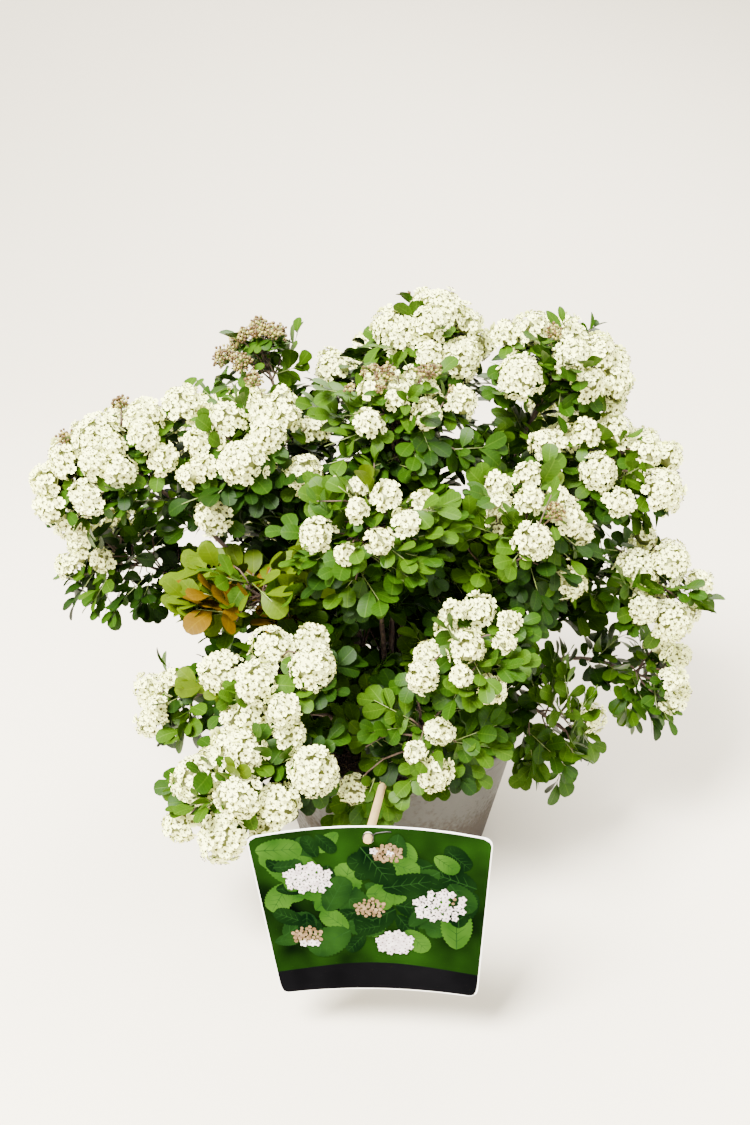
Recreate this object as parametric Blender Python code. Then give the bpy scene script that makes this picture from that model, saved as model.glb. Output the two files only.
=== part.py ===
"""Potted spirea in full bloom: a low nursery pot of soil, a woody stool, boughs that arch from it, the masses
of leaves and blossom heads that they carry, and a card label on a peg that is pushed into the soil.

Metres, +Z up, the plant's front towards -Y, the origin at the centre of the pot's flat underside.
"""

import math
import random
from collections import namedtuple

import bmesh
import bpy
import numpy as np
from mathutils import Matrix, Vector

UP = Vector((0.0, 0.0, 1.0))
GAP = 0.0003

# The pot, turned about +Z.
POT_HEIGHT = 0.112
POT_RIM_R = 0.113
POT_BASE_R = 0.086
POT_WALL = 0.002
POT_FLOOR = 0.003
POT_LIP_HEIGHT = 0.011
POT_LIP_STEP = 0.0016
POT_FOOT_CHAMFER = 0.0025
POT_RIM_ROUND = 0.0010
POT_SIDES = 32

# The soil fills the pot to a little below its rim.
SOIL_TOP = 0.100
SOIL_BUMP = 0.0030
SOIL_RINGS = (0.080, 0.050)

# The stool: a dome of wood that the boughs stand on, with a flared foot on the soil.
STOOL_R = 0.030
STOOL_CENTRE = Vector((0.0, 0.0, 0.094))
STOOL_SIDES = 24
STOOL_RINGS = 6
STOOL_LOWEST_RING = math.radians(74)
FLARE_R = 0.037
FLARE_LOBES = 5
FLARE_LOBE_DEPTH = 0.004

# Boughs run from the stool to just inside the mass that each one carries.
BOUGH_BASE_R = 0.0028
BOUGH_TIP_R = 0.0019
BOUGH_SIDES = 5
BOUGH_SEGMENTS = 5
BOUGH_SPACING = 0.0090
BOUGH_STEEPEST = math.radians(66)
BOUGH_ROUNDS = 400
BOUGH_PUSH = 0.35
BOUGH_LIFT = 0.42
BOUGH_EASE = 0.36
BOUGH_ENTRY = 0.80

# Each mass has one stem, from its bough's tip or the stool through its centre, and twigs on that stem.
STEM_R = 0.0019
STEM_TIP_R = 0.0014
STEM_SIDES = 4
STEM_BEND_AT = 0.6
STEM_PAST_CENTRE = 0.35
TWIG_R = 0.0010
TWIG_TIP_R = 0.0008
TWIG_SIDES = 3
GOLDEN = math.pi * (3 - math.sqrt(5))
FAN_JITTER = 0.15

# A mass faces away from the plant's heart and to the light.
HEART = Vector((0.0, 0.0, 0.17))
LIGHT = Vector((0.0, -0.12, 0.42))

# Leaves stand for a few real ones each, so they are larger than life.
LEAF_LENGTH = 0.050
LEAF_WIDTH_SHARE = 0.80
LEAF_WIDEST = 0.58
LEAF_DROOP = 0.04
LEAF_THICKNESS = 0.0012
LEAF_TRIES = 6
LEAF_ROOT = 0.007
LEAF_SPREAD = 1.70
LEAF_UPWARD = 0.6
LEAF_LEAN = 0.8
END_LEAF_LEAN = 3.0
END_LEAF_SETBACK = 0.002
LEAF_LENGTHS = [LEAF_LENGTH * (1.04 - 0.06 * k) for k in range(LEAF_TRIES)]
MOST_ON_EDGE = 0.85

# A spray is a twig of leaves: where its leaves stand along it, and how far out its tip is tried.
SPRAY_LEAVES = (0.88, 0.74, 0.58, 0.42)
SPRAY_REACHES = [0.78 - 0.08 * k for k in range(6)]
SPRAYS_A_ROUND = 5
FRONT_FEET = (0.50, 0.95)
BACK_FEET = (0.15, 0.60)
FEWEST_LEAVES = 2

# A blossom head is a low dome on a flat underside.
HEAD_SIDES = 6
HEAD_DEPTH_SHARE = 0.56
HEAD_RINGS = ((0.50, 0.12), (0.34, 0.72))
HEAD_SPREAD = 1.10
HEAD_OUTWARD = 0.55
HEAD_UPWARD = 0.35
HEAD_REACHES = [1.04 - 0.07 * k for k in range(7)]
HEAD_BASE_DEPTH = 0.80
HEAD_TWIG_DEPTH = 0.45
HEAD_FEET = (0.45, 1.00)
HEAD_LEAVES = (0.72, 0.40)
HEAD_LEAF_LEAN = 0.5

# Clearances: within a mass, between masses, off the limbs, and off the pot and its soil.
PART_SPACING = 0.0034
CELL_MARGIN = 0.0008
CELL_LIMIT = 1.25
LIMB_MARGIN = 0.0016
TWIG_LEAD = 0.010
TWIG_STEP = 0.002
SAMPLE_STEP = 0.006
RIM_MARGIN = 0.004
SOIL_MARGIN = 0.006
GROUND_MARGIN = 0.020

# The label: a fan-shaped card, hung near its top edge on a wooden peg that leans out over the rim.
PEG_R = 0.0030
PEG_SIDES = 10
PEG_OVER_RIM = Vector((-0.0075, -0.1125, 0.1178))
PEG_TIP = Vector((-0.0205, -0.2810, 0.1755))
PEG_AXIS = (PEG_TIP - PEG_OVER_RIM).normalized()
PEG_BURIED = 0.035
PEG_SLANT = 0.0022
PEG_CLEARANCE = 0.0004
CARD_Y = -0.2735
CARD_TOP_WIDTH = 0.166
CARD_BOTTOM_WIDTH = 0.139
CARD_HEIGHT = 0.132
CARD_TOP_RISE = 0.010
CARD_BOTTOM_RISE = 0.006
CARD_THICKNESS = 0.0008
CARD_CORNER_R = 0.006
CARD_HOLE_BELOW_EDGE = 0.009
CARD_ROLL = math.radians(-3.0)
CARD_YAW = math.radians(-5.0)

# One row for each mass: its centre and half sizes, its tilt in the XZ plane in degrees (a positive tilt
# rises towards +X), how many twigs of leaves and how many blossom heads it bears, the heads' diameter, and
# how far its bough arches above the straight way. A mass with no arch stands on the stool by its own stem.
Shoot = namedtuple("Shoot", "name centre half tilt sprays heads head_d arch")
SHOOTS = [
    Shoot("left_arm", (-0.218, -0.015, 0.352), (0.086, 0.046, 0.040), 26, 7, 9, 0.039, 0.030),
    Shoot("left_shoulder", (-0.108, -0.018, 0.352), (0.074, 0.060, 0.054), 0, 7, 10, 0.037, 0.020),
    Shoot("left_under", (-0.230, 0.045, 0.242), (0.060, 0.052, 0.050), 10, 6, 5, 0.028, 0.030),
    Shoot("bud_spire", (-0.110, 0.095, 0.404), (0.042, 0.040, 0.040), -15, 2, 6, 0.023, 0.010),
    Shoot("top_crest", (0.030, 0.050, 0.430), (0.051, 0.050, 0.042), 0, 5, 6, 0.040, 0.005),
    Shoot("top_right", (0.132, 0.030, 0.414), (0.062, 0.050, 0.041), -14, 6, 7, 0.040, 0.010),
    Shoot("right_upper", (0.168, 0.002, 0.338), (0.067, 0.052, 0.050), 0, 6, 7, 0.037, 0.020),
    Shoot("right_low", (0.202, -0.010, 0.243), (0.060, 0.050, 0.042), -6, 7, 7, 0.037, 0.030),
    Shoot("right_drop", (0.215, -0.020, 0.160), (0.041, 0.040, 0.041), 0, 4, 3, 0.027, 0.060),
    Shoot("right_sprig", (0.130, -0.070, 0.145), (0.040, 0.038, 0.054), 0, 5, 1, 0.028, 0.050),
    Shoot("centre_crest", (0.002, -0.032, 0.382), (0.077, 0.050, 0.045), 0, 8, 6, 0.035, 0.005),
    Shoot("centre_mid", (-0.018, -0.104, 0.322), (0.058, 0.050, 0.050), 0, 7, 4, 0.033, 0.020),
    Shoot("centre_right", (0.094, -0.074, 0.306), (0.060, 0.050, 0.058), 0, 7, 6, 0.034, 0.020),
    Shoot("centre_low", (0.048, -0.138, 0.246), (0.052, 0.044, 0.042), 0, 6, 7, 0.033, 0.030),
    Shoot("front_low", (0.024, -0.132, 0.168), (0.064, 0.044, 0.038), 0, 8, 1, 0.030, 0.035),
    Shoot("bronze_top", (-0.108, -0.080, 0.264), (0.058, 0.044, 0.036), 0, 7, 0, 0.030, 0.020),
    Shoot("cascade_top", (-0.092, -0.140, 0.224), (0.058, 0.046, 0.040), 12, 6, 7, 0.042, 0.040),
    Shoot("cascade_low", (-0.106, -0.175, 0.150), (0.070, 0.044, 0.044), 34, 4, 9, 0.042, 0.075),
    Shoot("left_low", (-0.174, -0.060, 0.158), (0.040, 0.038, 0.036), 0, 4, 3, 0.027, 0.050),
    Shoot("back_left", (-0.150, 0.145, 0.300), (0.085, 0.070, 0.062), 0, 6, 6, 0.038, 0.020),
    Shoot("back_top", (0.010, 0.135, 0.370), (0.080, 0.058, 0.055), 0, 6, 6, 0.038, 0.005),
    Shoot("back_right", (0.150, 0.125, 0.305), (0.080, 0.068, 0.060), 0, 6, 6, 0.038, 0.020),
    Shoot("back_low_left", (-0.085, 0.165, 0.200), (0.082, 0.058, 0.052), 0, 6, 4, 0.036, 0.050),
    Shoot("back_low_right", (0.100, 0.160, 0.200), (0.080, 0.058, 0.052), 0, 6, 4, 0.036, 0.050),
    Shoot("heart_left", (-0.062, -0.020, 0.236), (0.056, 0.060, 0.052), 0, 9, 0, 0.030, 0.0),
    Shoot("heart_right", (0.062, -0.018, 0.240), (0.056, 0.060, 0.052), 0, 9, 0, 0.030, 0.0),
    Shoot("heart_back", (0.004, 0.075, 0.266), (0.056, 0.046, 0.052), 0, 8, 0, 0.030, 0.0),
]


def clear_scene():
    for obj in list(bpy.data.objects):
        bpy.data.objects.remove(obj)


def material(name, colour, roughness, metallic=0.0):
    """A Principled material of one colour."""
    made = bpy.data.materials.new(name)
    made.use_nodes = True
    shader = made.node_tree.nodes["Principled BSDF"]
    shader.inputs["Base Color"].default_value = (*colour, 1.0)
    shader.inputs["Roughness"].default_value = roughness
    shader.inputs["Metallic"].default_value = metallic
    return made


def mesh_object(name, points, faces, finish=None, smooth=False):
    """A mesh object in the scene. Smooth ones keep the edges over 35 degrees sharp."""
    mesh = bpy.data.meshes.new(name)
    mesh.from_pydata([tuple(p) for p in points], [], faces)
    obj = bpy.data.objects.new(name, mesh)
    bpy.context.scene.collection.objects.link(obj)
    if finish:
        mesh.materials.append(finish)
    if smooth:
        mesh.shade_smooth()
        mesh.set_sharp_from_angle(angle=math.radians(35))
    return obj


def across(direction):
    """A unit vector square to the direction, level where it can be."""
    side = direction.cross(UP)
    if side.length < 1e-4:
        side = direction.cross(Vector((0.0, 1.0, 0.0)))
    return side.normalized()


def ring(centre, side, other, radius, count, spin=0.0):
    """Points of a circle in the plane of two unit vectors."""
    turns = [spin + 2 * math.pi * j / count for j in range(count)]
    return [centre + (side * math.cos(t) + other * math.sin(t)) * radius for t in turns]


def band(first, count):
    """Faces between a ring of points and the next one, the rings' points being numbered in order."""
    pairs = [(first + j, first + (j + 1) % count) for j in range(count)]
    return [(a, b, b + count, a + count) for a, b in pairs]


def capped(corners, count):
    """The faces of a closed tube of rings."""
    rings = len(corners) // count
    faces = [face for k in range(rings - 1) for face in band(k * count, count)]
    last = (rings - 1) * count
    return faces + [tuple(reversed(range(count))), tuple(last + j for j in range(count))]


def tube_mesh(points, radii, sides, first_way=None, last_way=None):
    """A closed tube through the points: its corner points and faces. The ways turn its two end faces."""
    corners = []
    side = across(points[1] - points[0])
    last = len(points) - 1
    for k, point in enumerate(points):
        along = (points[min(k + 1, last)] - points[max(k - 1, 0)]).normalized()
        if k == 0 and first_way:
            along = first_way
        if k == last and last_way:
            along = last_way
        side = (side - along * side.dot(along)).normalized()
        corners += ring(point, side, along.cross(side), radii[k], sides)
    return corners, capped(corners, sides)


def turned(profile, sides, ripple=None):
    """A solid turned about +Z: rings of (radius, height), from the middle of its foot to that of its top."""
    corners = []
    for radius, height in profile:
        for j in range(sides):
            turn = 2 * math.pi * j / sides
            r = radius + (ripple(turn, height) if ripple else 0.0)
            corners.append(Vector((r * math.cos(turn), r * math.sin(turn), height)))
    return corners, capped(corners, sides)


def pot_inner_radius(height):
    """The inside radius of the pot's wall at a height."""
    low, high = POT_BASE_R - POT_WALL, POT_RIM_R - POT_LIP_STEP - POT_WALL
    return low + (high - low) * (height - POT_FLOOR) / (POT_HEIGHT - POT_FLOOR)


def build_pot(finish):
    """The pot: flat underside, tapered wall, a lip round its rim, and the inside down to its floor."""
    lip_z = POT_HEIGHT - POT_LIP_HEIGHT
    wall_top = POT_RIM_R - POT_LIP_STEP
    outer = [
        (POT_BASE_R - POT_FOOT_CHAMFER, 0.0),
        (POT_BASE_R, POT_FOOT_CHAMFER),
        (wall_top - POT_LIP_STEP, lip_z - POT_LIP_STEP),
        (wall_top, lip_z),
        (POT_RIM_R, POT_HEIGHT - POT_RIM_ROUND),
        (POT_RIM_R - POT_RIM_ROUND, POT_HEIGHT),
    ]
    inner = [(pot_inner_radius(z), z) for z in (POT_HEIGHT, POT_FLOOR)]
    corners, faces = turned(outer + inner, POT_SIDES)
    return mesh_object("pot", corners, faces, finish, smooth=True)


def build_soil(finish):
    """The soil: it fills the pot, clear of its wall and floor, and its top is uneven."""
    rng = random.Random("soil")
    corners = []
    for height in (POT_FLOOR + GAP, SOIL_TOP):
        radius = pot_inner_radius(height) - GAP
        corners += ring(UP * height, Vector((1, 0, 0)), Vector((0, 1, 0)), radius, POT_SIDES)
    for radius in SOIL_RINGS:
        for point in ring(UP * SOIL_TOP, Vector((1, 0, 0)), Vector((0, 1, 0)), radius, POT_SIDES):
            bumpy = radius != SOIL_RINGS[-1]
            corners.append(point + UP * (SOIL_BUMP * rng.uniform(-1.0, 0.6) if bumpy else 0.0))
    return mesh_object("soil", corners, capped(corners, POT_SIDES), finish)


def build_stool(finish):
    """The stool: a dome on a lobed, flared foot, cut flat just above the soil."""
    foot = SOIL_TOP + GAP

    def lobes(turn, height):
        return FLARE_LOBE_DEPTH * math.cos(FLARE_LOBES * turn) if height == foot else 0.0

    profile = [(FLARE_R, foot)]
    for k in range(STOOL_RINGS):
        polar = STOOL_LOWEST_RING * (STOOL_RINGS - k) / STOOL_RINGS
        profile.append((STOOL_R * math.sin(polar), STOOL_CENTRE.z + STOOL_R * math.cos(polar)))
    corners, faces = turned(profile, STOOL_SIDES, lobes)
    return mesh_object("stool", corners, faces, finish, smooth=True)


def peg_foot():
    """The peg's buried end: PEG_BURIED along its axis below the soil's surface."""
    return PEG_OVER_RIM - PEG_AXIS * ((PEG_OVER_RIM.z - SOIL_TOP) / PEG_AXIS.z + PEG_BURIED)


def build_peg(finish):
    """The peg, its upper end cut on a slant."""
    corners, faces = tube_mesh([peg_foot(), PEG_TIP], [PEG_R, PEG_R], PEG_SIDES)
    for point in corners[PEG_SIDES:]:
        point += PEG_AXIS * (PEG_SLANT * (point - PEG_TIP).z / PEG_R)
    return mesh_object("label_peg", corners, faces, finish, smooth=True)


def peg_room():
    """A guide: the room that the peg takes up in the soil and in the card."""
    ends = [peg_foot() - PEG_AXIS * PEG_CLEARANCE, PEG_TIP + PEG_AXIS * PEG_BURIED]
    radius = PEG_R + PEG_CLEARANCE
    cutter = mesh_object("peg_room", *tube_mesh(ends, [radius, radius], PEG_SIDES))
    cutter.hide_render = True
    cutter.display_type = "WIRE"
    return cutter


def cut(obj, cutter):
    modifier = obj.modifiers.new("peg hole", "BOOLEAN")
    modifier.operation = "DIFFERENCE"
    modifier.object = cutter
    modifier.solver = "EXACT"


def rounded_corner(corner, before, after, radius, steps=3):
    """Points of an arc that rounds a corner between two straight neighbours."""
    to_before, to_after = (before - corner).normalized(), (after - corner).normalized()
    half = to_before.angle(to_after) / 2
    centre = corner + (to_before + to_after).normalized() * (radius / math.sin(half))
    setback = radius / math.tan(half)
    first, last = corner + to_before * setback - centre, corner + to_after * setback - centre
    sweep = first.angle(last)
    weights = [(math.sin(sweep * (1 - k / steps)), math.sin(sweep * k / steps)) for k in range(steps + 1)]
    return [centre + (first * a + last * b) / math.sin(sweep) for a, b in weights]


def arch(width, rise, crown_z, steps):
    """Points from left to right of an arched edge, short of its two corners."""
    shares = [0.9 * (2 * k / steps - 1) for k in range(steps + 1)]
    return [Vector((x * width / 2, 0.0, crown_z - rise * x * x)) for x in shares]


def card_outline():
    """The card's outline about its hole, clockwise from its top left corner, before it is turned."""
    top_z = CARD_HOLE_BELOW_EDGE
    bottom_z = top_z - CARD_HEIGHT - CARD_TOP_RISE + CARD_BOTTOM_RISE
    top = arch(CARD_TOP_WIDTH, CARD_TOP_RISE, top_z, 8)
    bottom = arch(CARD_BOTTOM_WIDTH, CARD_BOTTOM_RISE, bottom_z, 6)
    bottom.reverse()
    high = Vector((CARD_TOP_WIDTH / 2, 0.0, top_z - CARD_TOP_RISE))
    low = Vector((CARD_BOTTOM_WIDTH / 2, 0.0, bottom_z - CARD_BOTTOM_RISE))
    mirror = Matrix.Scale(-1.0, 3, Vector((1.0, 0.0, 0.0)))
    outline = rounded_corner(mirror @ high, mirror @ low, top[0], CARD_CORNER_R)
    outline += top[1:-1]
    outline += rounded_corner(high, top[-1], low, CARD_CORNER_R)
    outline += rounded_corner(low, high, bottom[0], CARD_CORNER_R)
    outline += bottom[1:-1]
    outline += rounded_corner(mirror @ low, bottom[-1], mirror @ high, CARD_CORNER_R)
    return outline


def build_card(finish):
    """The label card, hung on the peg's axis and turned a little on it."""
    turn = Matrix.Rotation(CARD_YAW, 3, "Z") @ Matrix.Rotation(CARD_ROLL, 3, "Y")
    hole = PEG_TIP + PEG_AXIS * ((CARD_Y - PEG_TIP.y) / PEG_AXIS.y)
    outline = [hole + turn @ p for p in card_outline()]
    half = turn @ Vector((0.0, CARD_THICKNESS / 2, 0.0))
    corners = [p - half for p in outline] + [p + half for p in outline]
    return mesh_object("label_card", corners, capped(corners, len(outline)), finish)


def shoot_turn(shoot):
    return Matrix.Rotation(-math.radians(shoot.tilt), 3, "Y")


def surface_point(shoot, way):
    """Where a ray from the mass's centre meets its surface."""
    local = shoot_turn(shoot).transposed() @ way
    share = math.sqrt(sum((local[i] / shoot.half[i]) ** 2 for i in range(3)))
    return Vector(shoot.centre) + way / share


def stool_point(direction):
    return STOOL_CENTRE + direction * (STOOL_R + GAP)


def bough_ways():
    """The direction from the stool's centre to each bough's foot: towards its mass, no further from upright
    than BOUGH_STEEPEST, and pushed apart until the feet are BOUGH_SPACING from each other."""
    ways = [(Vector(shoot.centre) - STOOL_CENTRE).normalized() for shoot in SHOOTS]
    for _ in range(BOUGH_ROUNDS):
        for k, way in enumerate(ways):
            push = Vector()
            for other in ways[:k] + ways[k + 1:]:
                away = (way - other) * STOOL_R
                if away.length < BOUGH_SPACING:
                    push += away.normalized() * (BOUGH_SPACING - away.length)
            way = (way + push * (BOUGH_PUSH / STOOL_R)).normalized()
            if way.angle(UP) > BOUGH_STEEPEST:
                level = Vector((way.x, way.y, 0.0)).normalized()
                way = level * math.sin(BOUGH_STEEPEST) + UP * math.cos(BOUGH_STEEPEST)
            ways[k] = way
    return ways


def bezier(a, b, c, d, steps):
    """Points of a cubic curve."""
    points = []
    for k in range(steps + 1):
        t, u = k / steps, 1 - k / steps
        points.append(a * u**3 + b * (3 * t * u * u) + c * (3 * t * t * u) + d * t**3)
    return points


def bough_line(shoot, way):
    """The bough's centreline from the stool to where it enters its mass, and its direction there."""
    start, centre = stool_point(way), Vector(shoot.centre)
    knee = start.lerp(centre, 0.5) + UP * shoot.arch
    arrival = (centre - knee).normalized()
    end = centre.lerp(surface_point(shoot, -arrival), BOUGH_ENTRY)
    span = (end - start).length
    lift, ease = way * (span * BOUGH_LIFT), arrival * (span * BOUGH_EASE)
    return bezier(start, start + lift, end - ease, end, BOUGH_SEGMENTS), arrival


def stem_line(shoot, way):
    """The mass's own stem: from just past its bough's tip, or from the stool, through its centre."""
    centre = Vector(shoot.centre)
    if shoot.arch:
        line, arrival = bough_line(shoot, way)
        foot = line[-1] + arrival * GAP
    else:
        foot = stool_point(way)
        arrival = (centre - foot).normalized()
    tip = centre.lerp(surface_point(shoot, arrival), STEM_PAST_CENTRE)
    return [foot, foot.lerp(centre, STEM_BEND_AT), tip]


def along_stem(stem, share):
    """The point a share of the way along the stem, from its foot to its tip."""
    return stem[0].lerp(stem[1], share * 2) if share < 0.5 else stem[1].lerp(stem[2], share * 2 - 1)


def crest(shoot):
    """The way that the mass faces: out from the plant's heart, and to the light."""
    return ((Vector(shoot.centre) - HEART).normalized() + LIGHT).normalized()


def fan(shoot, count, spread, seed):
    """Directions spread evenly about the mass's crest by the golden angle, the nearest to it first."""
    rng = random.Random(shoot.name + seed)
    facing = crest(shoot)
    side = across(facing)
    other = facing.cross(side)
    phase = rng.uniform(0, 2 * math.pi)
    ways = []
    for k in range(count):
        polar = math.acos(1 - spread * (k + 0.5) / count)
        around = phase + k * GOLDEN + rng.uniform(-FAN_JITTER, FAN_JITTER)
        outward = side * math.cos(around) + other * math.sin(around)
        ways.append(facing * math.cos(polar) + outward * math.sin(polar))
    return ways


def leaf_mesh(base, out, up, length):
    """A leaf of eight faces: root, two sides and tip, thick at its middle and sharp at its edge."""
    side = out.cross(up).normalized()
    lift = side.cross(out).normalized()
    droop = lift * (length * LEAF_DROOP)
    half = side * (length * LEAF_WIDTH_SHARE / 2)
    middle = base + out * (length * LEAF_WIDEST)
    thick = lift * (LEAF_THICKNESS / 2)
    rim = [base.copy(), middle + half - droop, base + out * length - droop, middle - half - droop]
    edges = [(k, (k + 1) % 4) for k in range(4)]
    faces = [(a, b, 4) for a, b in edges] + [(b, a, 5) for a, b in edges]
    return rim + [middle + thick, middle - thick], faces


def head_mesh(base, facing, diameter, spin):
    """A blossom head: a low dome of two rings on a flat underside."""
    side = across(facing)
    depth = diameter * HEAD_DEPTH_SHARE
    points = []
    for width, height in HEAD_RINGS:
        centre = base + facing * (depth * height)
        points += ring(centre, side, facing.cross(side), diameter * width, HEAD_SIDES, spin)
    top = len(points)
    points.append(base + facing * depth)
    upper = [(HEAD_SIDES + j, HEAD_SIDES + (j + 1) % HEAD_SIDES, top) for j in range(HEAD_SIDES)]
    return points, [tuple(reversed(range(HEAD_SIDES)))] + band(0, HEAD_SIDES) + upper


def surface_samples(points, faces):
    """An array of points spread over the faces, close enough that no limb passes between them."""
    found = []
    for face in faces:
        for second, third in zip(face[1:], face[2:]):
            edges = np.array([points[second] - points[face[0]], points[third] - points[face[0]]])
            longest = np.linalg.norm([edges[0], edges[1], edges[1] - edges[0]], axis=1).max()
            steps = math.ceil(longest / SAMPLE_STEP)
            grid = np.array([(i, j) for i in range(steps + 1) for j in range(steps + 1 - i)]) / steps
            found.append(np.array(points[face[0]]) + grid @ edges)
    return np.unique(np.round(np.concatenate(found), 4), axis=0)


class Room:
    """What a twig, leaf or head keeps clear of: other masses' space, the limbs, the pot and its soil."""

    def __init__(self, limbs):
        """The limbs are (node name, points, radius) rows."""
        spans = [(name, a, b, radius) for name, line, radius in limbs for a, b in zip(line, line[1:])]
        self.names = np.array([span[0] for span in spans])
        self.starts = np.array([span[1] for span in spans])
        self.ends = np.array([span[2] for span in spans])
        self.radii = np.array([span[3] for span in spans])
        self.centres = np.array([shoot.centre for shoot in SHOOTS])
        self.frames = np.array([np.array(shoot_turn(shoot)) / np.array(shoot.half) for shoot in SHOOTS])

    def clear(self, points, but=""):
        """True if all the points are clear of every limb but the one named."""
        along = self.ends - self.starts
        share = np.einsum("nmk,mk->nm", points[:, None] - self.starts, along)
        share = np.clip(share / np.einsum("mk,mk->m", along, along), 0, 1)
        near = self.starts + share[..., None] * along
        gaps = np.linalg.norm(points[:, None] - near, axis=2) - self.radii
        return gaps[:, self.names != but].min() > LIMB_MARGIN

    def surface_shares(self, points):
        """For each mass, how far out each point is from its centre, as a share of its surface's distance."""
        local = np.einsum("mnj,mjk->mnk", points - self.centres[:, None], self.frames)
        return np.linalg.norm(local, axis=2)

    def owns(self, index, points):
        """True if all the points are in the mass's own space, off the pot, its soil and the ground."""
        shares = self.surface_shares(points)
        own, others = shares[index], np.delete(shares, index, axis=0).min(axis=0)
        if own.max() > CELL_LIMIT or (others - own).min() < CELL_MARGIN / min(SHOOTS[index].half):
            return False
        level = np.hypot(points[:, 0], points[:, 1])
        over = (level < POT_RIM_R + RIM_MARGIN) & (points[:, 2] < POT_HEIGHT + RIM_MARGIN)
        at_soil = points[:, 2] < SOIL_TOP + SOIL_MARGIN
        at_wall = level > pot_inner_radius(POT_HEIGHT) - RIM_MARGIN
        return not (over & (at_soil | at_wall) | (points[:, 2] < GROUND_MARGIN)).any()


class Mass:
    """One mass as it grows: the parts to be fused on its stem, and the points that they take up."""

    def __init__(self, index, stem, room):
        self.index = index
        self.shoot = SHOOTS[index]
        self.node = "mass_" + self.shoot.name
        self.stem = stem
        self.room = room
        self.facing = crest(self.shoot)
        self.rng = random.Random(self.shoot.name + " leaves")
        self.parts = []
        self.taken = np.empty((0, 3))
        self.heads = 0
        self.twigs = 0

    def fits(self, points):
        """True if the points are in the mass's space and clear of limbs and of the mass's other parts."""
        if not self.room.owns(self.index, points) or not self.room.clear(points):
            return False
        low, high = points.min(axis=0) - PART_SPACING, points.max(axis=0) + PART_SPACING
        near = self.taken[((self.taken > low) & (self.taken < high)).all(axis=1)]
        return np.linalg.norm(points[:, None] - near, axis=2).min(initial=1.0) >= PART_SPACING

    def twig_fits(self, foot, tip):
        """True if a twig is clear of the other limbs and, past its first stretch, in the mass's space."""
        length = (tip - foot).length
        reach = np.linspace(0, length, 4 + int(length / TWIG_STEP))
        points = np.array(foot) + np.outer(reach / length, tip - foot)
        outer = points[reach > min(TWIG_LEAD, length / 2)]
        return self.room.clear(points, but=self.node) and self.room.owns(self.index, outer)

    def add(self, points, faces, samples):
        self.parts.append((points, faces))
        self.taken = np.vstack([self.taken, samples])

    def next_foot(self, first, last, steps, step):
        """Feet spread along a stretch of the stem, from its far end back."""
        return along_stem(self.stem, last + (first - last) * (step + self.rng.uniform(0.2, 0.8)) / steps)

    def twig(self, foot, tip):
        self.parts.append(tube_mesh([foot, tip], [TWIG_R, TWIG_TIP_R], TWIG_SIDES))
        self.twigs += 1

    def leaf(self, at, along, lean):
        """Adds a leaf that stands out from a twig, turned and shortened until it has room."""
        side = across(along)
        other = along.cross(side)
        spin = self.rng.uniform(0, 2 * math.pi)
        up = (self.facing + UP * LEAF_UPWARD).normalized()
        for attempt, length in enumerate(LEAF_LENGTHS):
            turn = spin + attempt * GOLDEN
            out = (side * math.cos(turn) + other * math.sin(turn) + along * lean).normalized()
            if abs(out.dot(up)) > MOST_ON_EDGE:
                continue
            points, faces = leaf_mesh(at, out, up, length)
            samples = surface_samples(points, faces[:4])
            blade = samples[np.linalg.norm(samples - np.array(at), axis=1) > LEAF_ROOT]
            if self.fits(blade) and self.room.clear(samples, but=self.node):
                self.add(points, faces, blade)
                return 1
        return 0

    def blossom(self, way):
        """Adds a head with its twig and leaves, as far out as it has room."""
        look = (way + self.facing * HEAD_OUTWARD + UP * HEAD_UPWARD).normalized()
        foot = self.next_foot(*HEAD_FEET, self.shoot.heads, self.heads)
        depth, spin = self.shoot.head_d * HEAD_DEPTH_SHARE, self.rng.uniform(0, 1)
        for reach in HEAD_REACHES:
            outer = Vector(self.shoot.centre).lerp(surface_point(self.shoot, way), reach)
            base = outer - look * (depth * HEAD_BASE_DEPTH)
            tip = base + look * (depth * HEAD_TWIG_DEPTH)
            points, faces = head_mesh(base, look, self.shoot.head_d, spin)
            samples = surface_samples(points, faces)
            if self.fits(samples) and self.twig_fits(foot, base):
                self.twig(foot, tip)
                self.add(points, faces, samples)
                self.heads += 1
                for share in HEAD_LEAVES:
                    self.leaf(foot.lerp(base, share), (tip - foot).normalized(), HEAD_LEAF_LEAN)
                return

    def spray(self, way):
        """Adds a twig of leaves, as far out as it has room, and none if it would be nearly bare."""
        feet = FRONT_FEET if way.dot(self.facing) > 0 else BACK_FEET
        foot = self.next_foot(*feet, SPRAYS_A_ROUND, self.twigs % SPRAYS_A_ROUND)
        for reach in SPRAY_REACHES:
            tip = Vector(self.shoot.centre).lerp(surface_point(self.shoot, way), reach)
            if not self.fits(np.array([tip])) or not self.twig_fits(foot, tip):
                continue
            parts, taken = len(self.parts), self.taken
            along = (tip - foot).normalized()
            leaves = self.leaf(tip - along * END_LEAF_SETBACK, along, END_LEAF_LEAN)
            for share in SPRAY_LEAVES:
                leaves += self.leaf(foot.lerp(tip, share), along, LEAF_LEAN)
            if leaves >= FEWEST_LEAVES:
                self.twig(foot, tip)
                return
            del self.parts[parts:]
            self.taken = taken

    def grow(self):
        """The mass's parts, its heads first."""
        for way in fan(self.shoot, self.shoot.heads * 3, HEAD_SPREAD, " heads"):
            if self.heads < self.shoot.heads:
                self.blossom(way)
        for way in fan(self.shoot, self.shoot.sprays, LEAF_SPREAD, " sprays"):
            self.spray(way)
        return self.parts


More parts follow.
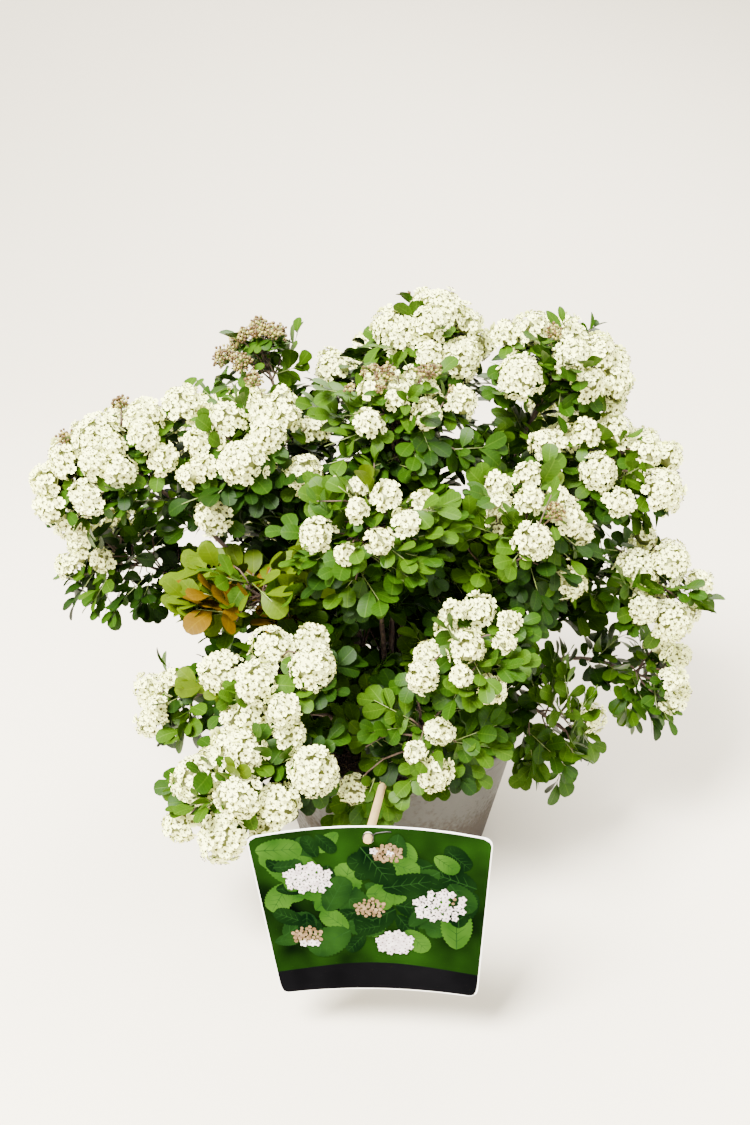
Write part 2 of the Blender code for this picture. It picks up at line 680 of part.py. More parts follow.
def keep_largest_body(mesh):
    """Drops loose scraps and sealed hollows."""
    shape = bmesh.new()
    shape.from_mesh(mesh)
    left, bodies = set(shape.verts), []
    while left:
        found, queue = set(), [left.pop()]
        while queue:
            vert = queue.pop()
            found.add(vert)
            linked = {edge.other_vert(vert) for edge in vert.link_edges} & left
            left -= linked
            queue += linked
        bodies.append(found)
    bodies.sort(key=len)
    scraps = [vert for body in bodies[:-1] for vert in body]
    bmesh.ops.delete(shape, geom=scraps, context="VERTS")
    shape.to_mesh(mesh)
    shape.free()


def fuse(obj, parts, finish):
    """Joins the parts to the object by one Boolean union, and keeps the one body that is left."""
    group = bpy.data.collections.new(obj.name + "_parts")
    bpy.context.scene.collection.children.link(group)
    for k, (points, faces) in enumerate(parts):
        piece = mesh_object(f"{obj.name}_part_{k}", points, faces)
        bpy.context.scene.collection.objects.unlink(piece)
        group.objects.link(piece)
    modifier = obj.modifiers.new("fuse", "BOOLEAN")
    modifier.operation = "UNION"
    modifier.operand_type = "COLLECTION"
    modifier.collection = group
    modifier.solver = "MANIFOLD"
    graph = bpy.context.evaluated_depsgraph_get()
    fused = bpy.data.meshes.new_from_object(obj.evaluated_get(graph))
    obj.modifiers.remove(modifier)
    obj.data = fused
    for piece in list(group.objects):
        bpy.data.objects.remove(piece)
    bpy.data.collections.remove(group)
    keep_largest_body(fused)
    fused.materials.clear()
    fused.materials.append(finish)


def build_bough(shoot, way, finish):
    """One tapering bough from the stool."""
    line, arrival = bough_line(shoot, way)
    slim = (BOUGH_TIP_R - BOUGH_BASE_R) / BOUGH_SEGMENTS
    radii = [BOUGH_BASE_R + slim * k for k in range(len(line))]
    corners, faces = tube_mesh(line, radii, BOUGH_SIDES, way, arrival)
    return mesh_object("bough_" + shoot.name, corners, faces, finish, smooth=True)


def build_shoots(bark, green):
    """The boughs and the masses they carry, each its own node."""
    ways = bough_ways()
    stems = [stem_line(shoot, way) for shoot, way in zip(SHOOTS, ways)]
    limbs = [("label_peg", [peg_foot(), PEG_TIP], PEG_R)]
    limbs += [("mass_" + shoot.name, stem, STEM_R) for shoot, stem in zip(SHOOTS, stems)]
    for shoot, way in zip(SHOOTS, ways):
        if shoot.arch:
            build_bough(shoot, way, bark)
            limbs.append(("bough_" + shoot.name, bough_line(shoot, way)[0], BOUGH_BASE_R))
    room = Room(limbs)
    for index, (shoot, stem) in enumerate(zip(SHOOTS, stems)):
        first_way = (stem[1] - stem[0]).normalized() if shoot.arch else ways[index]
        corners, faces = tube_mesh(stem, [STEM_R, STEM_R, STEM_TIP_R], STEM_SIDES, first_way)
        mass = mesh_object("mass_" + shoot.name, corners, faces)
        fuse(mass, Mass(index, stem, room).grow(), green)


def main():
    clear_scene()
    plastic = material("pot_plastic", (0.20, 0.195, 0.18), 0.75)
    earth = material("soil", (0.028, 0.018, 0.013), 0.95)
    bark = material("bark", (0.060, 0.038, 0.026), 0.85)
    green = material("foliage", (0.14, 0.32, 0.04), 0.6)
    wood = material("peg_wood", (0.68, 0.52, 0.32), 0.7)
    printed = material("label_print", (0.04, 0.10, 0.05), 0.35)
    build_pot(plastic)
    soil = build_soil(earth)
    build_stool(bark)
    build_peg(wood)
    card = build_card(printed)
    room = peg_room()
    cut(soil, room)
    cut(card, room)
    build_shoots(bark, green)


main()
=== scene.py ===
"""Potted spirea in full bloom: the finished looks of its pot, soil, wood, leaves, blossom and label.

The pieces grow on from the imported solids' limbs by the same rule, carried to finer twigs, and every one of
them rides on the body "root". Sizes are in metres.
"""

import logging
import math
import random
from dataclasses import dataclass, field
from enum import Enum
from typing import Callable, ClassVar, Iterable, Sequence

import bmesh
import bpy
import numpy as np
from bpy.types import Material, Node, NodeSocket, Object
from mathutils import Matrix, Vector, noise


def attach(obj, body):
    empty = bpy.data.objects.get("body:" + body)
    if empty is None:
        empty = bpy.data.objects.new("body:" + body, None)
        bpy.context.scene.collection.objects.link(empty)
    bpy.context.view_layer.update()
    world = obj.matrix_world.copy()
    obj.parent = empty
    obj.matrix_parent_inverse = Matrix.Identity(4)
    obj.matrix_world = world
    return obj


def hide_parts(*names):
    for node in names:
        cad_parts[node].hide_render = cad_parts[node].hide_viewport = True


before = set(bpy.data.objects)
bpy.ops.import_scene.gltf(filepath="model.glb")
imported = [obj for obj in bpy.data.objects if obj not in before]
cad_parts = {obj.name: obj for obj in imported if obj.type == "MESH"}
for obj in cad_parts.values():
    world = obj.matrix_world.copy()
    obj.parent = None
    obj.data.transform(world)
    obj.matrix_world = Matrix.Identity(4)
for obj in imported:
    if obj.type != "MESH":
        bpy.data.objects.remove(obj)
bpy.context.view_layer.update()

LOG = logging.getLogger("spirea")
BODY = "root"
UP = Vector((0.0, 0.0, 1.0))
GAP = 0.0003
GOLDEN = math.pi * (3 - math.sqrt(5))
MOST_TRIANGLES = 185_000

Array = np.ndarray
Rng = np.random.Generator
Pair = tuple[float, float]
Triple = tuple[float, float, float]
Colour = Triple
Line = tuple[Vector, Vector]


# Shader maths


class Value:
    """A number socket of a material, on which Python's operators add Math nodes."""

    def __init__(self, tree: "ShaderTree", socket: NodeSocket) -> None:
        """Wraps a socket of the tree."""
        self.tree = tree
        self.socket = socket

    def maths(self, operation: str, *operands: "Value | float") -> "Value":
        """The result of one Math node."""
        made = self.tree.node("ShaderNodeMath", {"operation": operation}, dict(enumerate(operands)))
        return Value(self.tree, made.outputs[0])

    def __add__(self, other: "Value | float") -> "Value":
        """self + other"""
        return self.maths("ADD", self, other)

    def __radd__(self, other: float) -> "Value":
        """other + self"""
        return self.maths("ADD", other, self)

    def __sub__(self, other: "Value | float") -> "Value":
        """self - other"""
        return self.maths("SUBTRACT", self, other)

    def __rsub__(self, other: float) -> "Value":
        """other - self"""
        return self.maths("SUBTRACT", other, self)

    def __mul__(self, other: "Value | float") -> "Value":
        """self * other"""
        return self.maths("MULTIPLY", self, other)

    def __rmul__(self, other: float) -> "Value":
        """other * self"""
        return self.maths("MULTIPLY", other, self)

    def absolute(self) -> "Value":
        """The value without its sign."""
        return self.maths("ABSOLUTE", self)

    def fraction(self) -> "Value":
        """The part after the point."""
        return self.maths("FRACT", self)

    def clamped(self) -> "Value":
        """The value held between 0 and 1."""
        return self.maths("MINIMUM", self.maths("MAXIMUM", self, 0.0), 1.0)


class ShaderTree:
    """One material's nodes round its Principled shader."""

    def __init__(self, name: str) -> None:
        """Makes the material.

        Args:
            name: its name.
        """
        self.material = bpy.data.materials.new(name)
        self.material.use_nodes = True
        self.nodes = self.material.node_tree.nodes
        self.links = self.material.node_tree.links
        self.shader = self.nodes["Principled BSDF"]

    def node(self, kind: str, settings: dict, sockets: dict) -> Node:
        """Adds one node.

        Args:
            kind: the node's type.
            settings: its settings, which are set first.
            sockets: values or links of its inputs, by name or number.

        Returns:
            The node.
        """
        made = self.nodes.new(kind)
        for key, setting in settings.items():
            setattr(made, key, setting)
        for key, value in sockets.items():
            self.put(made.inputs[key], value)
        return made

    def put(self, socket: NodeSocket, value: object) -> None:
        """Sets or links an input.

        Args:
            socket: the input.
            value: a number, a tuple, a Value or another node's output.
        """
        if isinstance(value, Value):
            value = value.socket
        if isinstance(value, NodeSocket):
            self.links.new(value, socket)
        elif isinstance(value, tuple) and socket.type == "RGBA":
            socket.default_value = (*value, 1.0)
        else:
            socket.default_value = value

    def surface(self, **inputs: object) -> Material:
        """The finished material.

        Args:
            inputs: the shader's values or links, with _ for a space in their names.

        Returns:
            The material.
        """
        for key, value in inputs.items():
            self.put(self.shader.inputs[key.replace("_", " ")], value)
        return self.material

    def mix(self, factor: "Value | float", first: object, second: object) -> NodeSocket:
        """Two colours or colour outputs mixed, where 0 gives the first one and 1 the second."""
        return self.node("ShaderNodeMix", {"data_type": "RGBA"}, {0: factor, 6: first, 7: second}).outputs[2]

    def place(self, kind: str = "Object") -> NodeSocket:
        """The point that is shaded, in the object's own space or in another of the coordinates."""
        return self.node("ShaderNodeTexCoord", {}, {}).outputs[kind]

    def parts(self, vector: NodeSocket) -> list[Value]:
        """A vector's three numbers."""
        split = self.node("ShaderNodeSeparateXYZ", {}, {0: vector})
        return [Value(self, socket) for socket in split.outputs]

    def noise(self, scale: float, detail: float = 3.0, stretch: Triple | None = None) -> Value:
        """A noise from 0 to 1 in object space.

        Args:
            scale: how fine it is.
            detail: its octaves.
            stretch: a scale for each axis, or None.

        Returns:
            The noise.
        """
        vector = self.place()
        if stretch:
            scaled = self.node("ShaderNodeVectorMath", {"operation": "MULTIPLY"}, {0: vector, 1: stretch})
            vector = scaled.outputs[0]
        sockets = {"Vector": vector, "Scale": scale, "Detail": detail}
        return Value(self, self.node("ShaderNodeTexNoise", {}, sockets).outputs[0])

    def bump(self, height: Value, distance: float, strength: float = 1.0) -> NodeSocket:
        """The normal bent by a height from 0 to 1, where 1 stands that far up."""
        sockets = {"Strength": strength, "Distance": distance, "Height": height}
        return self.node("ShaderNodeBump", {}, sockets).outputs[0]


# Finishes


def shaded(colour: Colour, share: float) -> Colour:
    """The colour, darker or lighter by a share."""
    return tuple(min(c * share, 1.0) for c in colour)


@dataclass(frozen=True)
class LeafFinish:
    """A leaf's skin: one base colour, a pale midrib, faint side veins and a soft sheen."""

    name: str
    colour: Colour
    vein: Colour
    roughness: float = 0.42
    side_veins: float = 7.0

    def material(self) -> Material:
        """Builds the material.

        Returns:
            The material.
        """
        tree = ShaderTree(self.name)
        along, across, _ = tree.parts(tree.place("UV"))
        off_rib = (across * 2.0 - 1.0).absolute()
        rib = (1.0 - off_rib * 11.0).clamped()
        wave = (along * self.side_veins - off_rib * 1.5).fraction()
        veins = (1.0 - (wave - 0.5).absolute() * 9.0).clamped() * 0.35
        mottle = tree.noise(260.0, 2.0)
        ground = tree.mix(mottle, shaded(self.colour, 0.72), shaded(self.colour, 1.22))
        edge = (off_rib - 0.80).clamped() * 2.2
        lit = tree.mix((rib * 0.65 + veins + edge * 0.5).clamped(), ground, self.vein)
        relief = mottle * 0.25 - veins - rib * 0.6
        return tree.surface(
            Base_Color=lit,
            Roughness=self.roughness,
            Specular_IOR_Level=0.07,
            Normal=tree.bump(relief, 0.00025, 0.6),
        )


@dataclass(frozen=True)
class PetalFinish:
    """Petals: creamy white, a little greener at their claw."""

    name: str = "petal_white"
    colour: Colour = (0.94, 0.98, 0.41)
    claw: Colour = (0.46, 0.55, 0.07)

    def material(self) -> Material:
        """Builds the material.

        Returns:
            The material.
        """
        tree = ShaderTree(self.name)
        out, _, _ = tree.parts(tree.place("UV"))
        white = tree.mix(tree.noise(320.0, 1.0), shaded(self.colour, 0.95), self.colour)
        at_claw = (1.0 - out * 2.6).clamped()
        colour = tree.mix(at_claw * 0.75, white, self.claw)
        return tree.surface(Base_Color=colour, Roughness=0.55, Specular_IOR_Level=0.25)


@dataclass(frozen=True)
class PlainFinish:
    """A small part's finish: one colour that a fine noise lightens and darkens."""

    name: str
    colour: Colour
    roughness: float = 0.6
    spread: float = 0.25
    scale: float = 400.0
    relief: float = 0.0001

    def material(self) -> Material:
        """Builds the material.

        Returns:
            The material.
        """
        tree = ShaderTree(self.name)
        grain = tree.noise(self.scale, 2.0)
        low, high = shaded(self.colour, 1 - self.spread), shaded(self.colour, 1 + self.spread)
        normal = tree.bump(grain, self.relief)
        return tree.surface(Base_Color=tree.mix(grain, low, high), Roughness=self.roughness, Normal=normal)


@dataclass(frozen=True)
class BarkFinish:
    """Bark: dark, fissured lengthwise and lit by paler flakes."""

    name: str
    colour: Colour
    flake: Colour
    roughness: float = 0.8

    def material(self) -> Material:
        """Builds the material.

        Returns:
            The material.
        """
        tree = ShaderTree(self.name)
        strands = tree.noise(1.0, 4.0, (700.0, 700.0, 160.0))
        patches = tree.noise(120.0, 3.0)
        flakes = ((strands * patches - 0.22) * 6.0).clamped()
        ground = tree.mix(patches, self.colour, shaded(self.colour, 1.7))
        colour = tree.mix(flakes * 0.7, ground, self.flake)
        return tree.surface(Base_Color=colour, Roughness=self.roughness, Normal=tree.bump(strands, 0.0006))


@dataclass(frozen=True)
class PotFinish:
    """The pot's plastic: warm grey, scuffed, and soiled with dried mud from its foot up."""

    name: str = "pot_plastic"
    colour: Colour = (0.0165, 0.0158, 0.0135)
    scuff: Colour = (0.036, 0.034, 0.030)
    mud: Colour = (0.022, 0.014, 0.008)

    def material(self) -> Material:
        """Builds the material.

        Returns:
            The material.
        """
        tree = ShaderTree(self.name)
        _, _, height = tree.parts(tree.place())
        clouds = tree.noise(16.0, 5.0)
        streaks = tree.noise(1.0, 4.0, (60.0, 60.0, 420.0))
        specks = tree.noise(260.0, 3.0)
        scuffed = ((streaks - 0.46) * 3.0).clamped() * 0.35 + ((clouds - 0.5) * 2.6).clamped() * 0.4
        plastic = tree.mix(scuffed, self.colour, self.scuff)
        low = (1.0 - height * 13.0).clamped()
        dried = ((clouds * 0.9 + specks * 0.5 + low * 0.42 - 0.80) * 4.5).clamped()
        colour = tree.mix(dried * 0.85, plastic, self.mud)
        rough = 0.46 + dried * 0.45 + scuffed * 0.2
        relief = dried * 0.7 + specks * 0.3
        return tree.surface(Base_Color=colour, Roughness=rough, Normal=tree.bump(relief, 0.0004, 0.7))


@dataclass(frozen=True)
class SoilFinish:
    """Peat: nearly black, with browner crumbs and dusty patches."""

    name: str
    colour: Colour
    crumb: Colour

    def material(self) -> Material:
        """Builds the material.

        Returns:
            The material.
        """
        tree = ShaderTree(self.name)
        grains = tree.noise(420.0, 5.0)
        clods = tree.noise(70.0, 3.0)
        colour = tree.mix(((grains * 0.7 + clods * 0.5 - 0.42) * 3.0).clamped(), self.colour, self.crumb)
        return tree.surface(Base_Color=colour, Roughness=0.93, Normal=tree.bump(grains, 0.0014))


@dataclass(frozen=True)
class WoodFinish:
    """Bare wood: pale, with fine darker grain along one axis."""

    name: str = "peg_wood"
    colour: Colour = (0.46, 0.32, 0.13)
    grain: Colour = (0.28, 0.17, 0.065)

    def material(self) -> Material:
        """Builds the material.

        Returns:
            The material.
        """
        tree = ShaderTree(self.name)
        fibres = tree.noise(1.0, 5.0, (900.0, 45.0, 900.0))
        stain = tree.noise(30.0, 3.0)
        mask = ((fibres - 0.42) * 2.6).clamped() * 0.6 + (stain - 0.55).clamped()
        colour = tree.mix(mask.clamped(), self.colour, self.grain)
        return tree.surface(Base_Color=colour, Roughness=0.68, Normal=tree.bump(fibres, 0.0002))


@dataclass(frozen=True)
class PrintFinish:
    """Printed film on the label: one ink, with the soft darker clouds of an out-of-focus picture."""

    name: str
    colour: Colour
    cloud: Colour
    scale: float = 34.0

    def material(self) -> Material:
        """Builds the material.

        Returns:
            The material.
        """
        tree = ShaderTree(self.name)
        clouds = ((tree.noise(self.scale, 2.0) - 0.32) * 2.4).clamped()
        film = tree.noise(900.0, 1.0)
        return tree.surface(
            Base_Color=tree.mix(clouds, self.colour, self.cloud),
            Roughness=0.34 + film * 0.1,
            Specular_IOR_Level=0.0,
            Normal=tree.bump(film, 0.00002),
        )


class Tone(Enum):
    """The colours that sprays of leaves are dealt. FRESH and BRONZE are young leaves. MID, FULL and DARK are
    one green in steps from lit to shaded, dealt partly at random, as the leaves' own range, and partly as
    painted shade, the darker ones going to sprays away from the light.
    """

    MID = LeafFinish("leaf_mid", (0.0235, 0.060, 0.0008), (0.052, 0.105, 0.004))
    FULL = LeafFinish("leaf_full", (0.0120, 0.038, 0.0008), (0.030, 0.070, 0.003))
    DARK = LeafFinish("leaf_dark", (0.0048, 0.017, 0.0007), (0.013, 0.036, 0.002), 0.48)
    FRESH = LeafFinish("leaf_fresh", (0.047, 0.080, 0.0), (0.072, 0.106, 0.0005), 0.45)
    BRONZE = LeafFinish("leaf_bronze", (0.078, 0.043, 0.0), (0.100, 0.062, 0.0005), 0.45)


# Joined meshes


@dataclass
class Template:
    """A small mesh that is copied: points (n x 3), triangles (m x 3) and a UV for each point or none."""

    points: Array
    faces: Array
    uvs: Array | None = None


@dataclass
class Piece:
    """A named piece of the object, joined from many meshes into objects of under MOST_TRIANGLES each.

    It has a finish, the record's material slot that this comes from, which is not used, and the solids that
    it stands for. Edges above its sharp angle, in degrees, stay sharp."""

    name: str
    finish: Material
    slot: str
    nodes: Sequence[str] = ()
    sharp: float = 0.0
    batches: list[Template] = field(default_factory=list)
    triangles: ClassVar[int] = 0

    def add(self, points: Array, faces: Array, uvs: Array | None = None) -> None:
        """Adds one mesh."""
        self.batches.append(Template(points, faces, np.zeros((len(points), 2)) if uvs is None else uvs))

    def copies(self, shapes: list[Template], kinds: Array, turns: Array, places: Array, sizes: Array) -> None:
        """Adds copies of some shapes.

        Args:
            shapes: what is copied.
            kinds: the number of each copy's shape (n), where -1 leaves it out.
            turns: each copy's axes, as the columns of a matrix (n x 3 x 3).
            places: each copy's origin (n x 3).
            sizes: each copy's scale (n).
        """
        for kind, shape in enumerate(shapes):
            chosen = kinds == kind
            count = int(chosen.sum())
            if count:
                axes = turns[chosen] * sizes[chosen][:, None, None]
                points = np.einsum("nij,vj->nvi", axes, shape.points) + places[chosen][:, None]
                faces = shape.faces[None] + (np.arange(count) * len(shape.points))[:, None, None]
                uvs = None if shape.uvs is None else np.tile(shape.uvs, (count, 1))
                self.add(points.reshape(-1, 3), faces.reshape(-1, 3), uvs)

    def build(self) -> None:
        """Makes the objects, which ride on the body, and reports them."""
        groups: list[list[Template]] = [[]]
        held = 0
        for batch in self.batches:
            if held + len(batch.faces) > MOST_TRIANGLES and groups[-1]:
                groups.append([])
                held = 0
            groups[-1].append(batch)
            held += len(batch.faces)
        for k, group in enumerate(groups):
            starts = np.cumsum([0] + [len(batch.points) for batch in group])
            faces = np.concatenate([batch.faces + start for batch, start in zip(group, starts)])
            uvs = np.concatenate([batch.uvs for batch in group]).astype(np.float32)
            name = self.name if len(groups) == 1 else f"{self.name}_{k + 1}"
            mesh = bpy.data.meshes.new(name)
            mesh.from_pydata(np.concatenate([batch.points for batch in group]), [], faces, shade_flat=False)
            mesh.uv_layers.new(name="UVMap").uv.foreach_set("vector", uvs[faces.ravel()].ravel())
            mesh.materials.append(self.finish)
            if self.sharp:
                mesh.set_sharp_from_angle(angle=math.radians(self.sharp))
            obj = placed(name, mesh)
            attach(obj, BODY)
            if self.nodes:
                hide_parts(*self.nodes)
            Piece.triangles += len(faces)
            LOG.info("%s: %d triangles", name, len(faces))


def placed(name: str, data: bpy.types.ID) -> Object:
    """Puts an object into the scene.

    Args:
        name: its name.
        data: its mesh, light or camera.

    Returns:
        The object.
    """
    obj = bpy.data.objects.new(name, data)
    bpy.context.scene.collection.objects.link(obj)
    return obj


def unit(vectors: Array) -> Array:
    """The vectors, each one long."""
    return vectors / np.maximum(np.linalg.norm(vectors, axis=-1, keepdims=True), 1e-9)


def column(values: Array) -> Array:
    """Numbers as a column, which scales rows of vectors."""
    return values[:, None]


def axes_along(along: Array, normal: Array) -> Array:
    """Axes (n x 3 x 3) for copies whose +Y points along and whose +Z is near the normal."""
    x = unit(np.cross(unit(along), normal))
    return np.stack([x, unit(along), np.cross(x, unit(along))], axis=-1)


def axes_facing(normal: Array, rng: Rng) -> Array:
    """Axes (n x 3 x 3) for copies whose +Z is along the normal, spun at random."""
    x = unit(np.cross(unit(normal), rng.normal(size=normal.shape)))
    return np.stack([x, np.cross(unit(normal), x), unit(normal)], axis=-1)


def radials(side: Array, other: Array, turn: Array) -> Array:
    """The ways out from some axes, at a turn round each, given two vectors square to each axis."""
    return side * column(np.cos(turn)) + other * column(np.sin(turn))


def ring_faces(rings: int, sides: int) -> list[tuple[int, int, int]]:
    """The triangles between rings of points."""
    pairs = [(k * sides + j, k * sides + (j + 1) % sides) for k in range(rings - 1) for j in range(sides)]
    return [(a, a + sides, b + sides) for a, b in pairs] + [(a, b + sides, b) for a, b in pairs]


def tubes(lines: Array, radii: Sequence[float], sides: int) -> tuple[Array, Array]:
    """Closed tubes along many lines at once.

    Args:
        lines: the lines' points (n x k x 3).
        radii: the radius at each of a line's points (k).
        sides: how many sides each tube has.

    Returns:
        The points and the triangles of all the tubes.
    """
    count, steps = lines.shape[:2]
    along = unit(np.gradient(lines, axis=1))
    hint = np.where(np.abs(along[:, :1, 2:]) > 0.9, [[[1.0, 0.0, 0.0]]], [[[0.0, 0.0, 1.0]]])
    side = unit(np.cross(along, np.broadcast_to(hint, along.shape)))
    turn = np.arange(sides) * (math.tau / sides)
    spread = radials(side[:, :, None], np.cross(along, side)[:, :, None], turn)
    points = lines[:, :, None] + spread * np.array(radii)[:, None, None]
    last = (steps - 1) * sides
    caps = [(0, j, j + 1) for j in range(1, sides - 1)]
    caps += [(last, last + j + 1, last + j) for j in range(1, sides - 1)]
    faces = np.array(ring_faces(steps, sides) + caps) + (np.arange(count) * steps * sides)[:, None, None]
    return points.reshape(-1, 3), faces.reshape(-1, 3)


def lathe(rows: Sequence, sides: int, spot: Callable[..., Pair]) -> tuple[Array, Array]:
    """A surface of rings round the Z axis, which faces out where its rows go up.

    Args:
        rows: what tells each ring from the others.
        sides: how many points a ring has.
        spot: gives a point's radius and height for its ring's row and its turn.

    Returns:
        The points and the triangles.
    """
    points = []
    for row in rows:
        for turn in [math.tau * j / sides for j in range(sides)]:
            radius, height = spot(row, turn)
            points.append((radius * math.cos(turn), radius * math.sin(turn), height))
    return np.array(points), np.array(ring_faces(len(rows), sides))[:, ::-1]


# The plant's rule of growth, as in its solids


@dataclass(frozen=True)
class Shoot:
    """One mass: its centre and half sizes, its tilt in the XZ plane, the twigs of leaves and the heads of its
    first growth, the heads' diameter and its bough's arch, which is 0 where it stands on the stool; then its
    heads in all, its small heads still in bud, its long upright shoots, the share of its bough that bears
    leaves, and the finer sprays tried."""

    name: str
    centre: Triple
    half: Triple
    tilt: int
    sprays: int
    heads: int
    head_d: float
    arch: float
    blooms: int
    buds: int
    rods: int
    leafy: float
    fill: int

    @classmethod
    def read(cls, row: str) -> "Shoot":
        """Reads a mass.

        Args:
            row: a row of SHOOT_ROWS: the fields in order, with lengths in mm and the share in %.

        Returns:
            The mass.
        """
        name, *words = row.split()
        n = [int(word) for word in words]
        x, y, z, wide, deep, tall, head_d, arch = (value / 1000 for value in n[:6] + n[9:11])
        return cls(name, (x, y, z), (wide, deep, tall), *n[6:9], head_d, arch, *n[11:14], n[14] / 100, n[15])

    def turn(self) -> Matrix:
        """The mass's own axes."""
        return Matrix.Rotation(-math.radians(self.tilt), 3, "Y")

    def toward(self, way: Vector, reach: float) -> Vector:
        """A point on a ray from the mass's centre.

        Args:
            way: the ray's direction.
            reach: how far out the point is, as a share of the way to the mass's surface.

        Returns:
            The point.
        """
        centre, local = Vector(self.centre), self.turn().transposed() @ way
        share = math.sqrt(sum((local[i] / self.half[i]) ** 2 for i in range(3)))
        return centre.lerp(centre + way / share, reach)

    def crest(self) -> Vector:
        """The way that the mass faces: out from the plant's heart, and to the light."""
        return ((Vector(self.centre) - Vector(RULE.heart)).normalized() + Vector(RULE.light)).normalized()

    def fan(self, count: int, spread: float, seed: str) -> list[Vector]:
        """Directions spread evenly about the crest by the golden angle.

        Args:
            count: how many.
            spread: how far round they go, from 0 to 2.
            seed: names the draw.

        Returns:
            The directions, the nearest to the crest first.
        """
        rng, facing = random.Random(self.name + seed), self.crest()
        phase = rng.uniform(0, math.tau)
        ways = []
        for k in range(count):
            polar = math.acos(1 - spread * (k + 0.5) / count)
            around = phase + k * GOLDEN + rng.uniform(-RULE.fan_jitter, RULE.fan_jitter)
            ways.append(facing * math.cos(polar) + round_about(facing, around) * math.sin(polar))
        return ways

    def bough(self, way: Vector, steps: int) -> tuple[list[Vector], Vector]:
        """Its bough's centreline from the stool to where it enters the mass.

        Args:
            way: its direction at the stool.
            steps: how many stretches the line has.

        Returns:
            The line's points and its direction at its end.
        """
        start, centre = stool_point(way), Vector(self.centre)
        knee = start.lerp(centre, 0.5) + UP * self.arch
        arrival = (centre - knee).normalized()
        end = self.toward(-arrival, RULE.bough_entry)
        span = (end - start).length
        first, second = start + way * (span * RULE.bough_lift), end - arrival * (span * RULE.bough_ease)
        points = []
        for k in range(steps + 1):
            t, u = k / steps, 1 - k / steps
            points.append(start * u**3 + first * (3 * t * u * u) + second * (3 * t * t * u) + end * t**3)
        return points, arrival

    def stem(self, way: Vector) -> list[Vector]:
        """The mass's own stem.

        Args:
            way: its bough's direction at the stool.

        Returns:
            The stem's foot, its bend and its tip.
        """
        foot, centre = stool_point(way), Vector(self.centre)
        arrival = (centre - foot).normalized()
        if self.arch:
            line, arrival = self.bough(way, RULE.bough_segments)
            foot = line[-1] + arrival * GAP
        return [foot, foot.lerp(centre, RULE.stem_bend_at), self.toward(arrival, RULE.stem_past_centre)]


# name, centre x y z, half sizes x y z, tilt, sprays, heads, head_d, arch, blooms, buds, rods, leafy, fill
SHOOT_ROWS = """
left_arm       -218  -15 352   86 46 40   26 7  9 39 30  27 4  0 20 38
left_shoulder  -108  -18 352   74 60 54    0 7 10 37 20  18 2  1 30 48
left_under     -230   45 242   60 52 50   10 6  5 28 30  10 1  0 35 34
bud_spire      -110   95 404   42 40 40  -15 2  6 23 10  13 0  0 55 48
top_crest        30   50 430   51 50 42    0 5  6 40  5  12 1  2 30 48
top_right       132   30 414   62 50 41  -14 6  7 40 10  17 2  2 30 48
right_upper     168    2 338   67 52 50    0 6  7 37 20  13 2  0 30 48
right_low       202  -10 243   60 50 42   -6 7  7 37 30  11 0  0 30 48
right_drop      215  -20 160   41 40 41    0 4  3 27 60   6 0  0 15 30
right_sprig     130  -70 145   40 38 54    0 5  1 28 50   1 0  0 15 24
centre_crest      2  -32 382   77 50 45    0 8  6 35  5  11 4 12 30 48
centre_mid      -18 -104 322   58 50 50    0 7  4 33 20  10 0  2 30 48
centre_right     94  -74 306   60 50 58    0 7  6 34 20  12 1  2 30 48
centre_low       48 -138 246   52 44 42    0 6  7 33 30  10 0  0 30 48
front_low        24 -132 168   64 44 38    0 8  1 30 35   3 0  0 15 44
bronze_top     -108  -80 264   58 44 36    0 7  0 30 20   0 0  0 30 48
cascade_top     -92 -140 224   58 46 40   12 6  7 42 40  11 0  0 30 64
cascade_low    -106 -175 150   70 44 44   34 4  9 42 75  15 0  0 30 70
left_low       -174  -60 158   40 38 36    0 4  3 27 50   5 0  0 40 48
back_left      -150  145 300   85 70 62    0 6  6 38 20  11 1  1 30 48
back_top         10  135 370   80 58 55    0 6  6 38  5  10 1  3 30 48
back_right      150  125 305   80 68 60    0 6  6 38 20  11 1  1 30 48
back_low_left   -85  165 200   82 58 52    0 6  4 36 50   7 0  0 30 48
back_low_right  100  160 200   80 58 52    0 6  4 36 50   7 0  0 30 48
heart_left      -62  -20 236   56 60 52    0 9  0 30  0   0 0  0  0 90
heart_right      62  -18 240   56 60 52    0 9  0 30  0   0 0  0  0 90
heart_back        4   75 266   56 46 52    0 8  0 30  0   0 0  0  0 90
"""
SHOOTS = [Shoot.read(row) for row in SHOOT_ROWS.strip().splitlines()]
BOUGH_NODES = ["bough_" + shoot.name for shoot in SHOOTS if shoot.arch]
MASS_NODES = ["mass_" + shoot.name for shoot in SHOOTS]


@dataclass(frozen=True)
class PotShape:
    """The pot's and the soil's sizes."""

    height: float = 0.112
    rim_r: float = 0.113
    base_r: float = 0.086
    wall: float = 0.002
    floor: float = 0.003
    lip_height: float = 0.011
    lip_step: float = 0.0016
    foot: float = 0.0025
    rim_round: float = 0.0010
    soil_top: float = 0.100

    def inner_radius(self, height: float) -> float:
        """The inside radius of the wall at a height."""
        low, high = self.base_r - self.wall, self.rim_r - self.lip_step - self.wall
        return low + (high - low) * (height - self.floor) / (self.height - self.floor)


POT = PotShape()


@dataclass(frozen=True)
class PegShape:
    """The label's peg, from the soil to its slanted end."""

    radius: float = 0.0030
    over_rim: Vector = field(default_factory=lambda: Vector((-0.0075, -0.1125, 0.1178)))
    tip: Vector = field(default_factory=lambda: Vector((-0.0205, -0.2810, 0.1755)))
    buried: float = 0.035
    slant: float = 0.0022

    def axis(self) -> Vector:
        """The way that it points."""
        return (self.tip - self.over_rim).normalized()

    def foot(self) -> Vector:
        """Its buried end."""
        axis = self.axis()
        return self.over_rim - axis * ((self.over_rim.z - POT.soil_top) / axis.z + self.buried)


PEG = PegShape()


